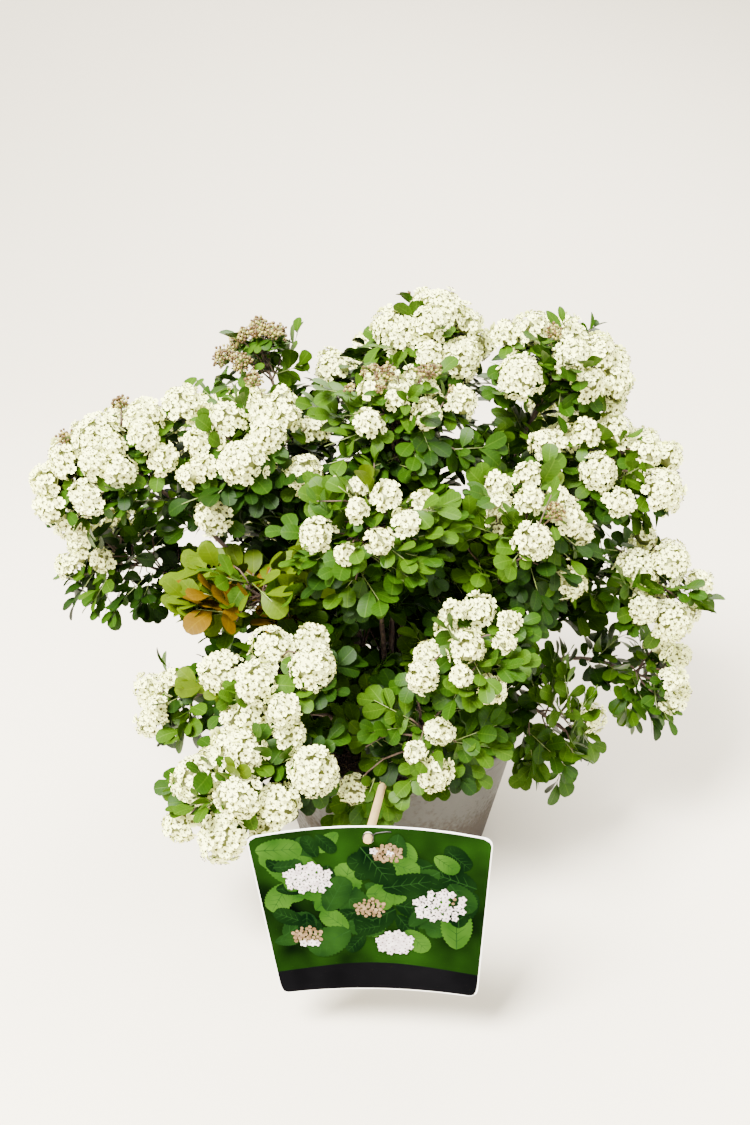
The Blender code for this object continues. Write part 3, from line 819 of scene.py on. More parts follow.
@dataclass(frozen=True)
class GrowthRule:
    """The numbers of the rule that the solids and these pieces share."""

    stool_r: float = 0.030
    stool_centre: Triple = (0.0, 0.0, 0.094)
    bough_base_r: float = 0.0028
    bough_segments: int = 5
    bough_spacing: float = 0.0090
    bough_steepest: float = math.radians(66)
    bough_rounds: int = 400
    bough_push: float = 0.35
    bough_lift: float = 0.42
    bough_ease: float = 0.36
    bough_entry: float = 0.80
    stem_r: float = 0.0019
    stem_bend_at: float = 0.6
    stem_past_centre: float = 0.35
    fan_jitter: float = 0.15
    heart: Triple = (0.0, 0.0, 0.17)
    light: Triple = (0.0, -0.12, 0.42)
    leaf_length: float = 0.050
    leaf_width_share: float = 0.80
    leaf_widest: float = 0.58
    leaf_droop: float = 0.04
    leaf_thickness: float = 0.0012
    leaf_tries: int = 6
    leaf_root: float = 0.007
    leaf_spread: float = 1.70
    leaf_upward: float = 0.6
    leaf_lean: float = 0.8
    end_leaf_lean: float = 3.0
    end_leaf_setback: float = 0.002
    most_on_edge: float = 0.85
    spray_leaves: tuple[float, ...] = (0.88, 0.74, 0.58, 0.42)
    sprays_a_round: int = 5
    spray_reach: Pair = (0.78, 0.08)
    spray_tries: int = 6
    front_feet: Pair = (0.50, 0.95)
    back_feet: Pair = (0.15, 0.60)
    fewest_leaves: int = 2
    head_sides: int = 6
    head_depth_share: float = 0.56
    head_rings: tuple[Pair, ...] = ((0.50, 0.12), (0.34, 0.72))
    head_spread: float = 1.10
    head_reach: Pair = (1.04, 0.07)
    head_tries: int = 7
    head_outward: float = 0.55
    head_upward: float = 0.35
    head_base_depth: float = 0.80
    head_twig_depth: float = 0.45
    head_feet: Pair = (0.45, 1.00)
    head_leaves: Pair = (0.72, 0.40)
    head_leaf_lean: float = 0.5
    part_spacing: float = 0.0034
    cell_margin: float = 0.0008
    cell_limit: float = 1.25
    limb_margin: float = 0.0016
    twig_lead: float = 0.010
    twig_step: float = 0.002
    sample_step: float = 0.006
    rim_margin: float = 0.004
    soil_margin: float = 0.006
    ground_margin: float = 0.020


RULE = GrowthRule()
STOOL_CENTRE = Vector(RULE.stool_centre)


@dataclass(frozen=True)
class FineRule:
    """The numbers of the finer growth, which only these pieces have; pairs are a range that is drawn from."""

    first_head_shares: Pair = (0.76, 1.06)
    head_shares: Pair = (0.60, 0.95)
    head_reach: Pair = (0.88, 1.08)
    head_limit: float = 1.18
    head_gap: float = 0.50
    crown_head_gap: float = 0.40
    crown_height: float = 0.34
    centre_head_scale: float = 0.84
    bud_heads: Pair = (0.015, 0.022)
    bud_limit: float = 1.50
    bud_spread: float = 0.5
    bud_rise: float = 0.6
    bud_foot: float = 0.9
    bud_tries: int = 6
    bud_reach: Pair = (1.02, 0.06)
    head_spread: float = 1.15
    head_tries: int = 12
    head_outward: float = 0.5
    head_upward: float = 0.25
    head_feet: Pair = (0.45, 1.00)
    rod_spread: float = 0.9
    rod_feet: Pair = (0.3, 0.9)
    rod_rise: float = 0.8
    rod_reach: Pair = (0.98, 1.20)
    budded_rods: float = 0.6
    # tone_marks to shaded_side: painted shade, darker leaf tones for sprays away from the light or on the
    # shaded side
    tone_marks: Triple = (1.18, 0.52, 0.12)
    bronze_marks: Pair = (0.15, 0.84)
    toward_light: float = 0.35
    toward_sky: float = 0.15
    shaded_side: float = 0.30
    tip_buds: Pair = (0.008, 0.011)
    sprays: Pair = (0.036, 0.050)
    spray_limit: float = 1.20
    droop_head: float = 0.026
    droop_tip: Triple = (-0.032, -0.138, 0.122)
    droop_sprays: Pair = (0.028, 0.038)
    bough_sprays: Pair = (0.024, 0.038)
    sprays_a_bough: int = 34
    basal_shoots: int = 16
    basal_sprays: Pair = (0.022, 0.034)


FINE = FineRule()


def across(direction: Vector) -> Vector:
    """A unit vector square to a direction, level where it can be."""
    side = direction.cross(UP)
    return (side if side.length > 1e-4 else direction.cross(Vector((0.0, 1.0, 0.0)))).normalized()


def round_about(axis: Vector, turn: float) -> Vector:
    """The way out from an axis at a turn round it."""
    side = across(axis)
    return side * math.cos(turn) + axis.cross(side) * math.sin(turn)


def stool_point(direction: Vector) -> Vector:
    """A point just off the stool's surface."""
    return STOOL_CENTRE + direction * (RULE.stool_r + GAP)


def bough_ways() -> list[Vector]:
    """Works out how the boughs leave the stool.

    Returns:
        The directions from its centre to their feet, pushed apart until they have room.
    """
    steep = RULE.bough_steepest
    ways = [(Vector(shoot.centre) - STOOL_CENTRE).normalized() for shoot in SHOOTS]
    for _ in range(RULE.bough_rounds):
        for k, way in enumerate(ways):
            push = Vector()
            for other in ways[:k] + ways[k + 1:]:
                away = (way - other) * RULE.stool_r
                if away.length < RULE.bough_spacing:
                    push += away.normalized() * (RULE.bough_spacing - away.length)
            way = (way + push * (RULE.bough_push / RULE.stool_r)).normalized()
            if way.angle(UP) > steep:
                way = Vector((way.x, way.y, 0.0)).normalized() * math.sin(steep) + UP * math.cos(steep)
            ways[k] = way
    return ways


def along_stem(stem: list[Vector], share: float) -> Vector:
    """The point a share of the way along a stem."""
    return stem[0].lerp(stem[1], share * 2) if share < 0.5 else stem[1].lerp(stem[2], share * 2 - 1)


def surface_samples(points: list[Vector], faces: Iterable[tuple[int, ...]]) -> Array:
    """Points spread over faces, close enough that no limb passes between them.

    Args:
        points: the faces' corners.
        faces: the faces.

    Returns:
        The points (n x 3).
    """
    found = []
    for face in faces:
        for second, third in zip(face[1:], face[2:]):
            edges = np.array([points[second] - points[face[0]], points[third] - points[face[0]]])
            longest = np.linalg.norm([edges[0], edges[1], edges[1] - edges[0]], axis=1).max()
            steps = math.ceil(longest / RULE.sample_step)
            grid = np.array([(i, j) for i in range(steps + 1) for j in range(steps + 1 - i)]) / steps
            found.append(np.array(points[face[0]]) + grid @ edges)
    return np.unique(np.round(np.concatenate(found), 4), axis=0)


def leaf_samples(base: Vector, out: Vector, up: Vector, length: float) -> Array:
    """Points over a leaf of the first growth.

    Args:
        base: its root.
        out: where it points.
        up: about where its upper side faces.
        length: its length.

    Returns:
        The points (n x 3).
    """
    side = out.cross(up).normalized()
    lift = side.cross(out).normalized()
    droop = lift * (length * RULE.leaf_droop)
    half = side * (length * RULE.leaf_width_share / 2)
    middle = base + out * (length * RULE.leaf_widest)
    rim = [base, middle + half - droop, base + out * length - droop, middle - half - droop]
    top = middle + lift * (RULE.leaf_thickness / 2)
    return surface_samples([*rim, top], [(k, (k + 1) % 4, 4) for k in range(4)])


def head_samples(base: Vector, facing: Vector, diameter: float, spin: float) -> Array:
    """Points over the dome of a blossom head of the first growth.

    Args:
        base: the middle of its underside.
        facing: where it faces.
        diameter: its width.
        spin: its turn about its axis.

    Returns:
        The points (n x 3).
    """
    depth, sides = diameter * RULE.head_depth_share, RULE.head_sides
    points = []
    for width, height in RULE.head_rings:
        for turn in [spin + math.tau * j / sides for j in range(sides)]:
            out = round_about(facing, turn) * (diameter * width)
            points.append(base + facing * (depth * height) + out)
    points.append(base + facing * depth)
    faces = [tuple(reversed(range(sides)))]
    for a, b in [(j, (j + 1) % sides) for j in range(sides)]:
        faces += [(a, b, b + sides, a + sides), (sides + a, sides + b, 2 * sides)]
    return surface_samples(points, faces)


class Room:
    """What a twig, leaf or head keeps clear of: other masses' space, the limbs, the pot and its soil."""

    def __init__(self, ways: list[Vector]) -> None:
        """Notes the limbs.

        Args:
            ways: the boughs' directions at the stool.
        """
        self.ways = ways
        limbs = [("label_peg", [PEG.foot(), PEG.tip], PEG.radius)]
        for shoot, way in zip(SHOOTS, ways):
            limbs.append(("mass_" + shoot.name, shoot.stem(way), RULE.stem_r))
            if shoot.arch:
                line = shoot.bough(way, RULE.bough_segments)[0]
                limbs.append(("bough_" + shoot.name, line, RULE.bough_base_r))
        spans = [(name, a, b, radius) for name, line, radius in limbs for a, b in zip(line, line[1:])]
        self.names, self.starts, self.ends, self.radii = (np.array(rows) for rows in zip(*spans))
        self.centres = np.array([shoot.centre for shoot in SHOOTS])
        self.frames = np.array([np.array(shoot.turn()) / np.array(shoot.half) for shoot in SHOOTS])

    def clear(self, points: Array, but: str = "") -> bool:
        """Whether points are clear of the limbs.

        Args:
            points: the points (n x 3).
            but: the node of a limb that doesn't count.

        Returns:
            True if they all are.
        """
        along = self.ends - self.starts
        share = np.einsum("nmk,mk->nm", points[:, None] - self.starts, along)
        share = np.clip(share / np.einsum("mk,mk->m", along, along), 0, 1)
        near = self.starts + share[..., None] * along
        gaps = np.linalg.norm(points[:, None] - near, axis=2) - self.radii
        return bool(gaps[:, self.names != but].min() > RULE.limb_margin)

    def in_pot(self, points: Array) -> Array:
        """Finds the points in or too near the pot, its soil or the ground.

        Args:
            points: the points (n x 3).

        Returns:
            One True or False for each point.
        """
        level, height = np.hypot(points[:, 0], points[:, 1]), points[:, 2]
        over = (level < POT.rim_r + RULE.rim_margin) & (height < POT.height + RULE.rim_margin)
        at_wall = level > POT.inner_radius(POT.height) - RULE.rim_margin
        return over & ((height < POT.soil_top + RULE.soil_margin) | at_wall) | (height < RULE.ground_margin)

    def owned(self, index: int, points: Array, limit: float, margin: float) -> Array:
        """Finds the points in a mass's own space.

        Args:
            index: the mass.
            points: the points (n x 3).
            limit: how far out they may be, as a share of the way to its surface.
            margin: how far they keep from another mass's space.

        Returns:
            One True or False for each point.
        """
        local = np.einsum("mnj,mjk->mnk", points - self.centres[:, None], self.frames)
        shares = np.linalg.norm(local, axis=2)
        own, others = shares[index], np.delete(shares, index, axis=0).min(axis=0)
        apart = others - own >= margin / min(SHOOTS[index].half)
        return (own <= limit) & apart & ~self.in_pot(points)


@dataclass
class Head:
    """One umbel: the middle of its underside, the way it faces, its width, and whether it is still in bud."""

    base: Vector
    look: Vector
    diameter: float
    in_bud: bool

    def middle(self) -> Vector:
        """The middle of its dome."""
        return self.base + self.look * (self.diameter * RULE.head_depth_share / 2)


@dataclass
class Spray:
    """One spray of leaves: its root, the way it points, its upper side, its length and its colour."""

    root: Vector
    out: Vector
    up: Vector
    length: float
    tone: Tone


class Mass:
    """One mass as it grows: first as its solid does, and then on to finer twigs."""

    def __init__(self, index: int, way: Vector, room: Room) -> None:
        """Starts a mass on its stem.

        Args:
            index: its number in SHOOTS.
            way: its bough's direction at the stool.
            room: what it keeps clear of.
        """
        self.index, self.way, self.room = index, way, room
        self.shoot = SHOOTS[index]
        self.node = "mass_" + self.shoot.name
        self.stem, self.facing = self.shoot.stem(way), self.shoot.crest()
        self.rng, self.tones, self.sizes = (self.draws(what) for what in (" leaves", " tones", " sizes"))
        self.taken = np.empty((0, 3))
        self.head_scale = FINE.centre_head_scale if self.shoot.name.startswith("centre") else 1.0
        self.bronze, self.spire = self.shoot.name == "bronze_top", self.shoot.name == "bud_spire"
        self.heads: list[Head] = []
        self.sprays: list[Spray] = []
        self.loose: list[Spray] = []
        self.twigs: list[Line] = []
        self.rods: list[Line] = []

    def draws(self, what: str) -> random.Random:
        """A source of draws of its own for one kind of growth."""
        return random.Random(self.shoot.name + what)

    def owns(self, points: Array, limit: float = RULE.cell_limit, margin: float = RULE.cell_margin) -> bool:
        """True if all the points are in the mass's own space."""
        return bool(self.room.owned(self.index, points, limit, margin).all())

    def fits(self, points: Array) -> bool:
        """Whether a part has room.

        Args:
            points: points over it (n x 3).

        Returns:
            True if they are in the mass's space and clear of limbs and of the mass's other parts.
        """
        if not self.owns(points) or not self.room.clear(points):
            return False
        low, high = points.min(axis=0) - RULE.part_spacing, points.max(axis=0) + RULE.part_spacing
        near = self.taken[((self.taken > low) & (self.taken < high)).all(axis=1)]
        return bool(np.linalg.norm(points[:, None] - near, axis=2).min(initial=1.0) >= RULE.part_spacing)

    def twig_fits(self, foot: Vector, tip: Vector) -> bool:
        """Whether a twig has room.

        Args:
            foot: where it leaves the stem.
            tip: its end.

        Returns:
            True if it is clear of the other limbs and, past its first stretch, in the mass's space.
        """
        length = (tip - foot).length
        reach = np.linspace(0, length, 4 + int(length / RULE.twig_step))
        points = np.array(foot) + np.outer(reach / length, tip - foot)
        past = reach > min(RULE.twig_lead, length / 2)
        return self.room.clear(points, but=self.node) and self.owns(points[past])

    def next_foot(self, first: float, last: float, steps: int, step: int) -> Vector:
        """The foot of one of some twigs, spread over a stretch of the stem from its far end back."""
        return along_stem(self.stem, last + (first - last) * (step + self.rng.uniform(0.2, 0.8)) / steps)

    def tone(self, out: Vector, shade: float = 0.0) -> Tone:
        """Deals a spray its colour: bronze and fresh ones in their places, darker ones away from the light as
        painted shade.

        Args:
            out: where it points.
            shade: how much darker it is painted for standing inside, as painted shade; below 0 it is painted
                lighter.

        Returns:
            The tone.
        """
        draw = self.tones.random() - shade
        if self.bronze:
            steps = zip((Tone.BRONZE, Tone.FRESH), FINE.bronze_marks)
            return next((tone for tone, most in steps if draw < most), Tone.MID)
        mark = draw + out.dot(self.facing) * FINE.toward_light + out.z * FINE.toward_sky
        # painted shade: the heart and left masses, on the plant's shaded side, get darker tones
        mark -= FINE.shaded_side * self.shoot.name.startswith(("heart", "left"))
        steps = zip((Tone.FRESH, Tone.MID, Tone.FULL), FINE.tone_marks)
        return next((tone for tone, least in steps if mark > least), Tone.DARK)

    def leaf(self, at: Vector, along: Vector, lean: float) -> int:
        """Finds room for a leaf of the first growth, which becomes a spray here.

        Args:
            at: its root on the twig.
            along: the twig's direction.
            lean: how much it leans that way.

        Returns:
            1 if it has room, or 0.
        """
        spin = self.rng.uniform(0, math.tau)
        up = (self.facing + UP * RULE.leaf_upward).normalized()
        for attempt in range(RULE.leaf_tries):
            out = (round_about(along, spin + attempt * GOLDEN) + along * lean).normalized()
            if abs(out.dot(up)) <= RULE.most_on_edge:
                length = RULE.leaf_length * (1.04 - 0.06 * attempt)
                samples = leaf_samples(at, out, up, length)
                blade = samples[np.linalg.norm(samples - np.array(at), axis=1) > RULE.leaf_root]
                if self.fits(blade) and self.room.clear(samples, but=self.node):
                    self.taken = np.vstack([self.taken, blade])
                    self.sprays.append(Spray(at, out, up, length, self.tone(out)))
                    return 1
        return 0

    def blossom(self, way: Vector) -> None:
        """Adds a head of the first growth with its twig and leaves, as far out as it has room.

        Args:
            way: its direction from the mass's centre.
        """
        width = self.shoot.head_d
        look = (way + self.facing * RULE.head_outward + UP * RULE.head_upward).normalized()
        foot = self.next_foot(*RULE.head_feet, self.shoot.heads, len(self.heads))
        depth, spin = width * RULE.head_depth_share, self.rng.uniform(0, 1)
        for step in range(RULE.head_tries):
            outer = self.shoot.toward(way, RULE.head_reach[0] - RULE.head_reach[1] * step)
            base = outer - look * (depth * RULE.head_base_depth)
            samples = head_samples(base, look, width, spin)
            if self.fits(samples) and self.twig_fits(foot, base):
                tip = base + look * (depth * RULE.head_twig_depth)
                self.twigs.append((foot, tip))
                self.taken = np.vstack([self.taken, samples])
                size = width * self.sizes.uniform(*FINE.first_head_shares) * self.head_scale
                self.heads.append(Head(base, look, size, self.spire))
                for share in RULE.head_leaves:
                    self.leaf(foot.lerp(base, share), (tip - foot).normalized(), RULE.head_leaf_lean)
                return

    def spray(self, way: Vector, bare: int) -> int:
        """Adds a twig of leaves of the first growth, and none if it would be nearly bare.

        Args:
            way: its direction from the mass's centre.
            bare: how many twigs the mass has.

        Returns:
            How many twigs the mass has then.
        """
        feet = RULE.front_feet if way.dot(self.facing) > 0 else RULE.back_feet
        foot = self.next_foot(*feet, RULE.sprays_a_round, bare % RULE.sprays_a_round)
        for step in range(RULE.spray_tries):
            tip = self.shoot.toward(way, RULE.spray_reach[0] - RULE.spray_reach[1] * step)
            if not self.fits(np.array([tip])) or not self.twig_fits(foot, tip):
                continue
            count, taken = len(self.sprays), self.taken
            along = (tip - foot).normalized()
            leaves = self.leaf(tip - along * RULE.end_leaf_setback, along, RULE.end_leaf_lean)
            for share in RULE.spray_leaves:
                leaves += self.leaf(foot.lerp(tip, share), along, RULE.leaf_lean)
            if leaves >= RULE.fewest_leaves:
                self.twigs.append((foot, tip))
                return bare + 1
            del self.sprays[count:]
            self.taken = taken
        return bare

    def grow(self) -> None:
        """Grows the mass as its solid does, its heads first, and then on to finer twigs."""
        shoot = self.shoot
        for way in shoot.fan(shoot.heads * 3, RULE.head_spread, " heads"):
            if len(self.heads) < shoot.heads:
                self.blossom(way)
        twigs = len(self.twigs)
        for way in shoot.fan(shoot.sprays, RULE.leaf_spread, " sprays"):
            twigs = self.spray(way, twigs)
        self.more_heads()
        self.long_shoots()
        self.more_sprays()
        if shoot.name == "front_low":
            self.droop()
        if shoot.arch:
            self.bough_sprays()
        else:
            self.basal_shoots()
        LOG.info("%s: %d heads, %d sprays", self.node, len(self.heads), len(self.sprays) + len(self.loose))

    def add_head(self, way: Vector, head: Head, reach: float, share: float, limit: float) -> bool:
        """Adds a head on a finer twig if it has room beside the others.

        Args:
            way: its direction from the mass's centre.
            head: the head, whose base is set here.
            reach: how far out it stands, as a share of the way to the mass's surface.
            share: where its twig leaves the stem, as a share of the stem.
            limit: how far out it may stand.

        Returns:
            True if it was added.
        """
        depth = head.diameter * RULE.head_depth_share
        head.base = self.shoot.toward(way, reach) - head.look * (depth * RULE.head_base_depth)
        gap = FINE.crown_head_gap if self.shoot.centre[2] > FINE.crown_height else FINE.head_gap
        for other in self.heads:
            if (other.middle() - head.middle()).length < gap * (other.diameter + head.diameter):
                return False
        if not self.owns(np.array([head.base, head.middle(), head.base + head.look * depth]), limit, 0.0):
            return False
        self.heads.append(head)
        self.twigs.append((along_stem(self.stem, share), head.base + head.look * (depth * 0.3)))
        return True

    def more_heads(self) -> None:
        """Adds smaller heads between the first ones, and small ones in bud that stand up out of them."""
        rng, shoot = self.draws(" more heads"), self.shoot
        for way in shoot.fan(shoot.blooms * FINE.head_tries, FINE.head_spread, " more heads"):
            if len(self.heads) < shoot.blooms:
                look = (way + self.facing * FINE.head_outward + UP * FINE.head_upward).normalized()
                size = shoot.head_d * rng.uniform(*FINE.head_shares) * self.head_scale
                reach, share = rng.uniform(*FINE.head_reach), rng.uniform(*FINE.head_feet)
                self.add_head(way, Head(Vector(), look, size, self.spire), reach, share, FINE.head_limit)
        for way in shoot.fan(shoot.buds, FINE.bud_spread, " buds"):
            upward = (way + UP * FINE.bud_rise).normalized()
            head = Head(Vector(), (upward + UP).normalized(), rng.uniform(*FINE.bud_heads), True)
            for step in range(FINE.bud_tries):
                reach = FINE.bud_reach[0] + FINE.bud_reach[1] * step
                if self.add_head(upward, head, reach, FINE.bud_foot, FINE.bud_limit):
                    break

    def long_shoots(self) -> None:
        """Adds long upright shoots, with larger leaves all round them and often a few buds at the tip."""
        rng = self.draws(" long shoots")
        for way in self.shoot.fan(self.shoot.rods, FINE.rod_spread, " long shoots"):
            foot = along_stem(self.stem, rng.uniform(*FINE.rod_feet))
            tip = self.shoot.toward((way + UP * FINE.rod_rise).normalized(), rng.uniform(*FINE.rod_reach))
            self.rods.append((foot, tip))
            self.twigs.append((foot, tip))
            if rng.random() < FINE.budded_rods:
                self.heads.append(Head(tip, (tip - foot).normalized(), rng.uniform(*FINE.tip_buds), True))

    def droop(self) -> None:
        """Adds a drooping twig with a head at its tip and sprays that hang round it."""
        rng = self.draws(" droop")
        tip = Vector(FINE.droop_tip)
        look = Vector((tip.x, tip.y, 0.07)).normalized()
        self.heads.append(Head(tip, look, FINE.droop_head, False))
        self.twigs.append((self.stem[2], tip))
        for k in range(7):
            out = Vector((1.6 * (k / 6 - 0.5), -0.35, -0.55 - 0.4 * rng.random())).normalized()
            up = (look + UP * 0.5 + out.cross(look) * rng.gauss(0, 0.2)).normalized()
            root = self.stem[2].lerp(tip, rng.uniform(0.7, 1.0))
            # shade -0.3 gives these sprays lighter tones: painted light on sprays that hang out in front
            self.loose.append(Spray(root, out, up, rng.uniform(*FINE.droop_sprays), self.tone(out, -0.3)))

    def more_sprays(self) -> None:
        """Adds sprays on finer twigs through the mass's space."""
        rng = self.draws(" more sprays")
        up_way = (self.facing + UP * 0.6).normalized()
        rise = UP * (0.8 if self.bronze else 0.25)
        for way in self.shoot.fan(self.shoot.fill, 1.96, " more sprays"):
            length = rng.uniform(*FINE.sprays)
            root = self.shoot.toward(way, rng.uniform(0.30, 0.90))
            wander = Vector([rng.gauss(0, 1) for _ in range(3)])
            out = (way + rise + wander * 0.35).normalized()
            up = (up_way + way * 0.35 + wander.cross(way) * 0.25).normalized()
            if abs(out.dot(up)) > RULE.most_on_edge:
                out = (out - up * out.dot(up) * 0.6).normalized()
            line = np.array([root, root + out * (length * 0.5), root + out * length])
            if self.owns(line, FINE.spray_limit, 0.0):
                self.twigs.append((along_stem(self.stem, rng.uniform(0.12, 0.98)), root))
                self.sprays.append(Spray(root, out, up, length, self.tone(out)))

    def bough_sprays(self) -> None:
        """Adds short sprays along the outer stretch of the mass's bough."""
        rng = self.draws(" bough sprays")
        steps, leafy = 20, self.shoot.leafy
        line = self.shoot.bough(self.way, steps)[0]
        count = round(leafy * FINE.sprays_a_bough)
        for k in range(count):
            spot = steps * (1 - leafy * (k + rng.random()) / count)
            j = min(int(spot), steps - 1)
            along = (line[j + 1] - line[j]).normalized()
            radial = round_about(along, k * GOLDEN)
            out = (radial + along * 0.7 + UP * 0.2).normalized()
            up = (UP + radial * 0.4 + self.facing * 0.4).normalized()
            root, length = line[j].lerp(line[j + 1], spot - j), rng.uniform(*FINE.bough_sprays)
            # shade 0.25 gives these sprays darker tones: painted shade for sprays standing inside along the
            # bough
            self.loose.append(Spray(root, out, up, length, self.tone(out, 0.25)))

    def basal_shoots(self) -> None:
        """Adds young shoots that rise from the soil round the stool."""
        rng = self.draws(" basal shoots")
        for k in range(FINE.basal_shoots):
            turn = (self.index + 3 * k) * GOLDEN + rng.uniform(-0.3, 0.3)
            outward = Vector((math.cos(turn), math.sin(turn), 0.0))
            foot = outward * rng.uniform(0.038, 0.066) + UP * (POT.soil_top - 0.002)
            tip = foot + outward * rng.uniform(0.004, 0.026) + UP * rng.uniform(0.030, 0.095)
            self.twigs.append((foot, tip))
            for share in (0.35, 0.62, 0.85, 1.0):
                swing = Vector((rng.gauss(0, 1), rng.gauss(0, 1), 0.6 * rng.random()))
                out = (swing + outward * 0.3 + UP * (share - 0.3)).normalized()
                up = (UP + Vector((0.0, -0.5, 0.0)) + swing.cross(UP) * 0.2).normalized()
                length = rng.uniform(*FINE.basal_sprays)
                # shade -0.10 gives lighter tones, lessening the painted shade that the heart masses' shaded
                # side deals
                self.loose.append(Spray(foot.lerp(tip, share), out, up, length, self.tone(out, -0.10)))


def grow_masses() -> list[Mass]:
    """Grows every mass by the rule.

    Returns:
        The masses.
    """
    room = Room(bough_ways())
    masses = [Mass(index, way, room) for index, way in enumerate(room.ways)]
    for mass in masses:
        mass.grow()
    return masses


# Templates of leaves and flowers


@dataclass(frozen=True)
class LeafShape:
    """How a leaf one long is cut and bent; its root and tip are broader for smaller powers."""

    width: float
    root: float
    tip: float
    cup: float
    droop: float
    twist: float
    teeth: float
    stalk: float = 0.10
    stations: tuple[float, ...] = (0.04, 0.19, 0.40, 0.60, 0.76, 0.88, 0.96)

    def swell(self, s: float) -> float:
        """How wide the blade is at a share of its length, where its widest is 1."""
        peak = self.root / (self.root + self.tip)
        return (s / peak) ** self.root * ((1 - s) / (1 - peak)) ** self.tip

    @classmethod
    def several(cls, kind: str, count: int, ranges: dict[str, Pair], **fixed: float) -> list[Template]:
        """Makes leaves of one kind.

        Args:
            kind: names the draw.
            count: how many.
            ranges: the range of each field that is drawn, in order.
            fixed: the other fields.

        Returns:
            The leaves.
        """
        rng = random.Random(kind)
        drawn = [{key: rng.uniform(*ends) for key, ends in ranges.items()} for _ in range(count)]
        return [cls(**fields, **fixed).leaf() for fields in drawn]

    def leaf(self) -> Template:
        """The leaf, with its root at the origin, along +Y and with its upper side to +Z.

        Returns:
            The leaf.
        """
        points, uvs, faces = [(0.0, 0.0, 0.0)], [(0.0, 0.5)], [(0, 2, 1), (0, 3, 2)]
        for k, s in enumerate(self.stations):
            swell = self.swell(s)
            half = max(self.width / 2 * swell * (1.0 - self.teeth * (k % 2) * (s > 0.4)), 0.012)
            y, z = self.stalk + (1 - self.stalk) * s, 0.03 * math.sin(math.pi * s) - self.droop * s * s
            for side in (-1, 0, 1):
                x = side * half
                lift = self.cup * half * abs(side) * (1.0 - 0.35 * s) + self.twist * s * x
                points.append((x, y - 0.02 * half * abs(side), z + lift))
                uvs.append((s, 0.5 + 0.5 * side * min(swell, 1.0)))
        last = 3 * len(self.stations) - 2
        for a in range(1, last, 3):
            faces += [(a, a + 1, a + 4), (a, a + 4, a + 3), (a + 1, a + 2, a + 5), (a + 1, a + 5, a + 4)]
        faces += [(last, last + 1, last + 3), (last + 1, last + 2, last + 3)]
        points.append((0.0, 1.0, -self.droop))
        return Template(np.array(points), np.array(faces), np.array([*uvs, (1.0, 0.5)]))


def flower_template(cup: float, gape: float, seed: int) -> Template:
    """Five round petals, one long from the flower's middle, facing +Z.

    Args:
        cup: how far the petals' rims stand up.
        gape: how wide a petal is.
        seed: varies the petals.

    Returns:
        The petals.
    """
    rng = random.Random(seed)
    outline = [(0.0, 0.10, 0.0), (gape * 0.80, 0.50, 0.5), (gape * 0.62, 0.94, 1.0)]
    outline += [(-x, y, rise) for x, y, rise in outline[:0:-1]] + [(0.0, 0.60, 0.10)]
    points, uvs = [], []
    for k in range(5):
        turn = k * math.tau / 5 + rng.uniform(-0.08, 0.08)
        size, tilt = rng.uniform(0.92, 1.06), cup * rng.uniform(0.6, 1.4)
        for x, y, rise in outline:
            x, y = x * size, y * size
            flat = (x * math.cos(turn) - y * math.sin(turn), x * math.sin(turn) + y * math.cos(turn))
            points.append((*flat, tilt * rise * y))
            uvs.append((y, 0.5 + x))
    faces = [(6 * k + j, 6 * k + (j + 1) % 5, 6 * k + 5) for k in range(5) for j in range(5)]
    return Template(np.array(points), np.array(faces), np.array(uvs))


def dome_template(radius: float, height: float, sides: int = 5) -> Template:
    """A low cone that faces +Z, for a flower's middle.

    Args:
        radius: how wide it is.
        height: how high it is.
        sides: how many sides it has.

    Returns:
        The cone.
    """
    turn = np.arange(sides) * (math.tau / sides)
    rim = np.stack([radius * np.cos(turn), radius * np.sin(turn), np.full(sides, 0.03)], axis=1)
    faces = np.array([(j, (j + 1) % sides, sides) for j in range(sides)])
    return Template(np.vstack([rim, [[0.0, 0.0, height]]]), faces)


def specks_template(seed: int, count: int = 4, reach: float = 0.42, size: float = 0.095) -> Template:
    """The anthers round a flower's middle, each a tiny tetrahedron.

    Args:
        seed: varies their places.
        count: how many there are.
        reach: how far out they stand.
        size: how large one is.

    Returns:
        The anthers.
    """
    rng = random.Random(seed)
    corners = np.array([(1, 1, 1), (1, -1, -1), (-1, 1, -1), (-1, -1, 1)]) * size
    points = []
    for k in range(count):
        turn, out = k * math.tau / count + rng.uniform(-0.4, 0.4), reach * rng.uniform(0.6, 1.3)
        points.append(corners + [out * math.cos(turn), out * math.sin(turn), rng.uniform(0.22, 0.38)])
    sides = np.array([(0, 1, 2), (0, 3, 1), (0, 2, 3), (1, 3, 2)])
    return Template(np.concatenate(points), np.concatenate([sides + 4 * k for k in range(count)]))


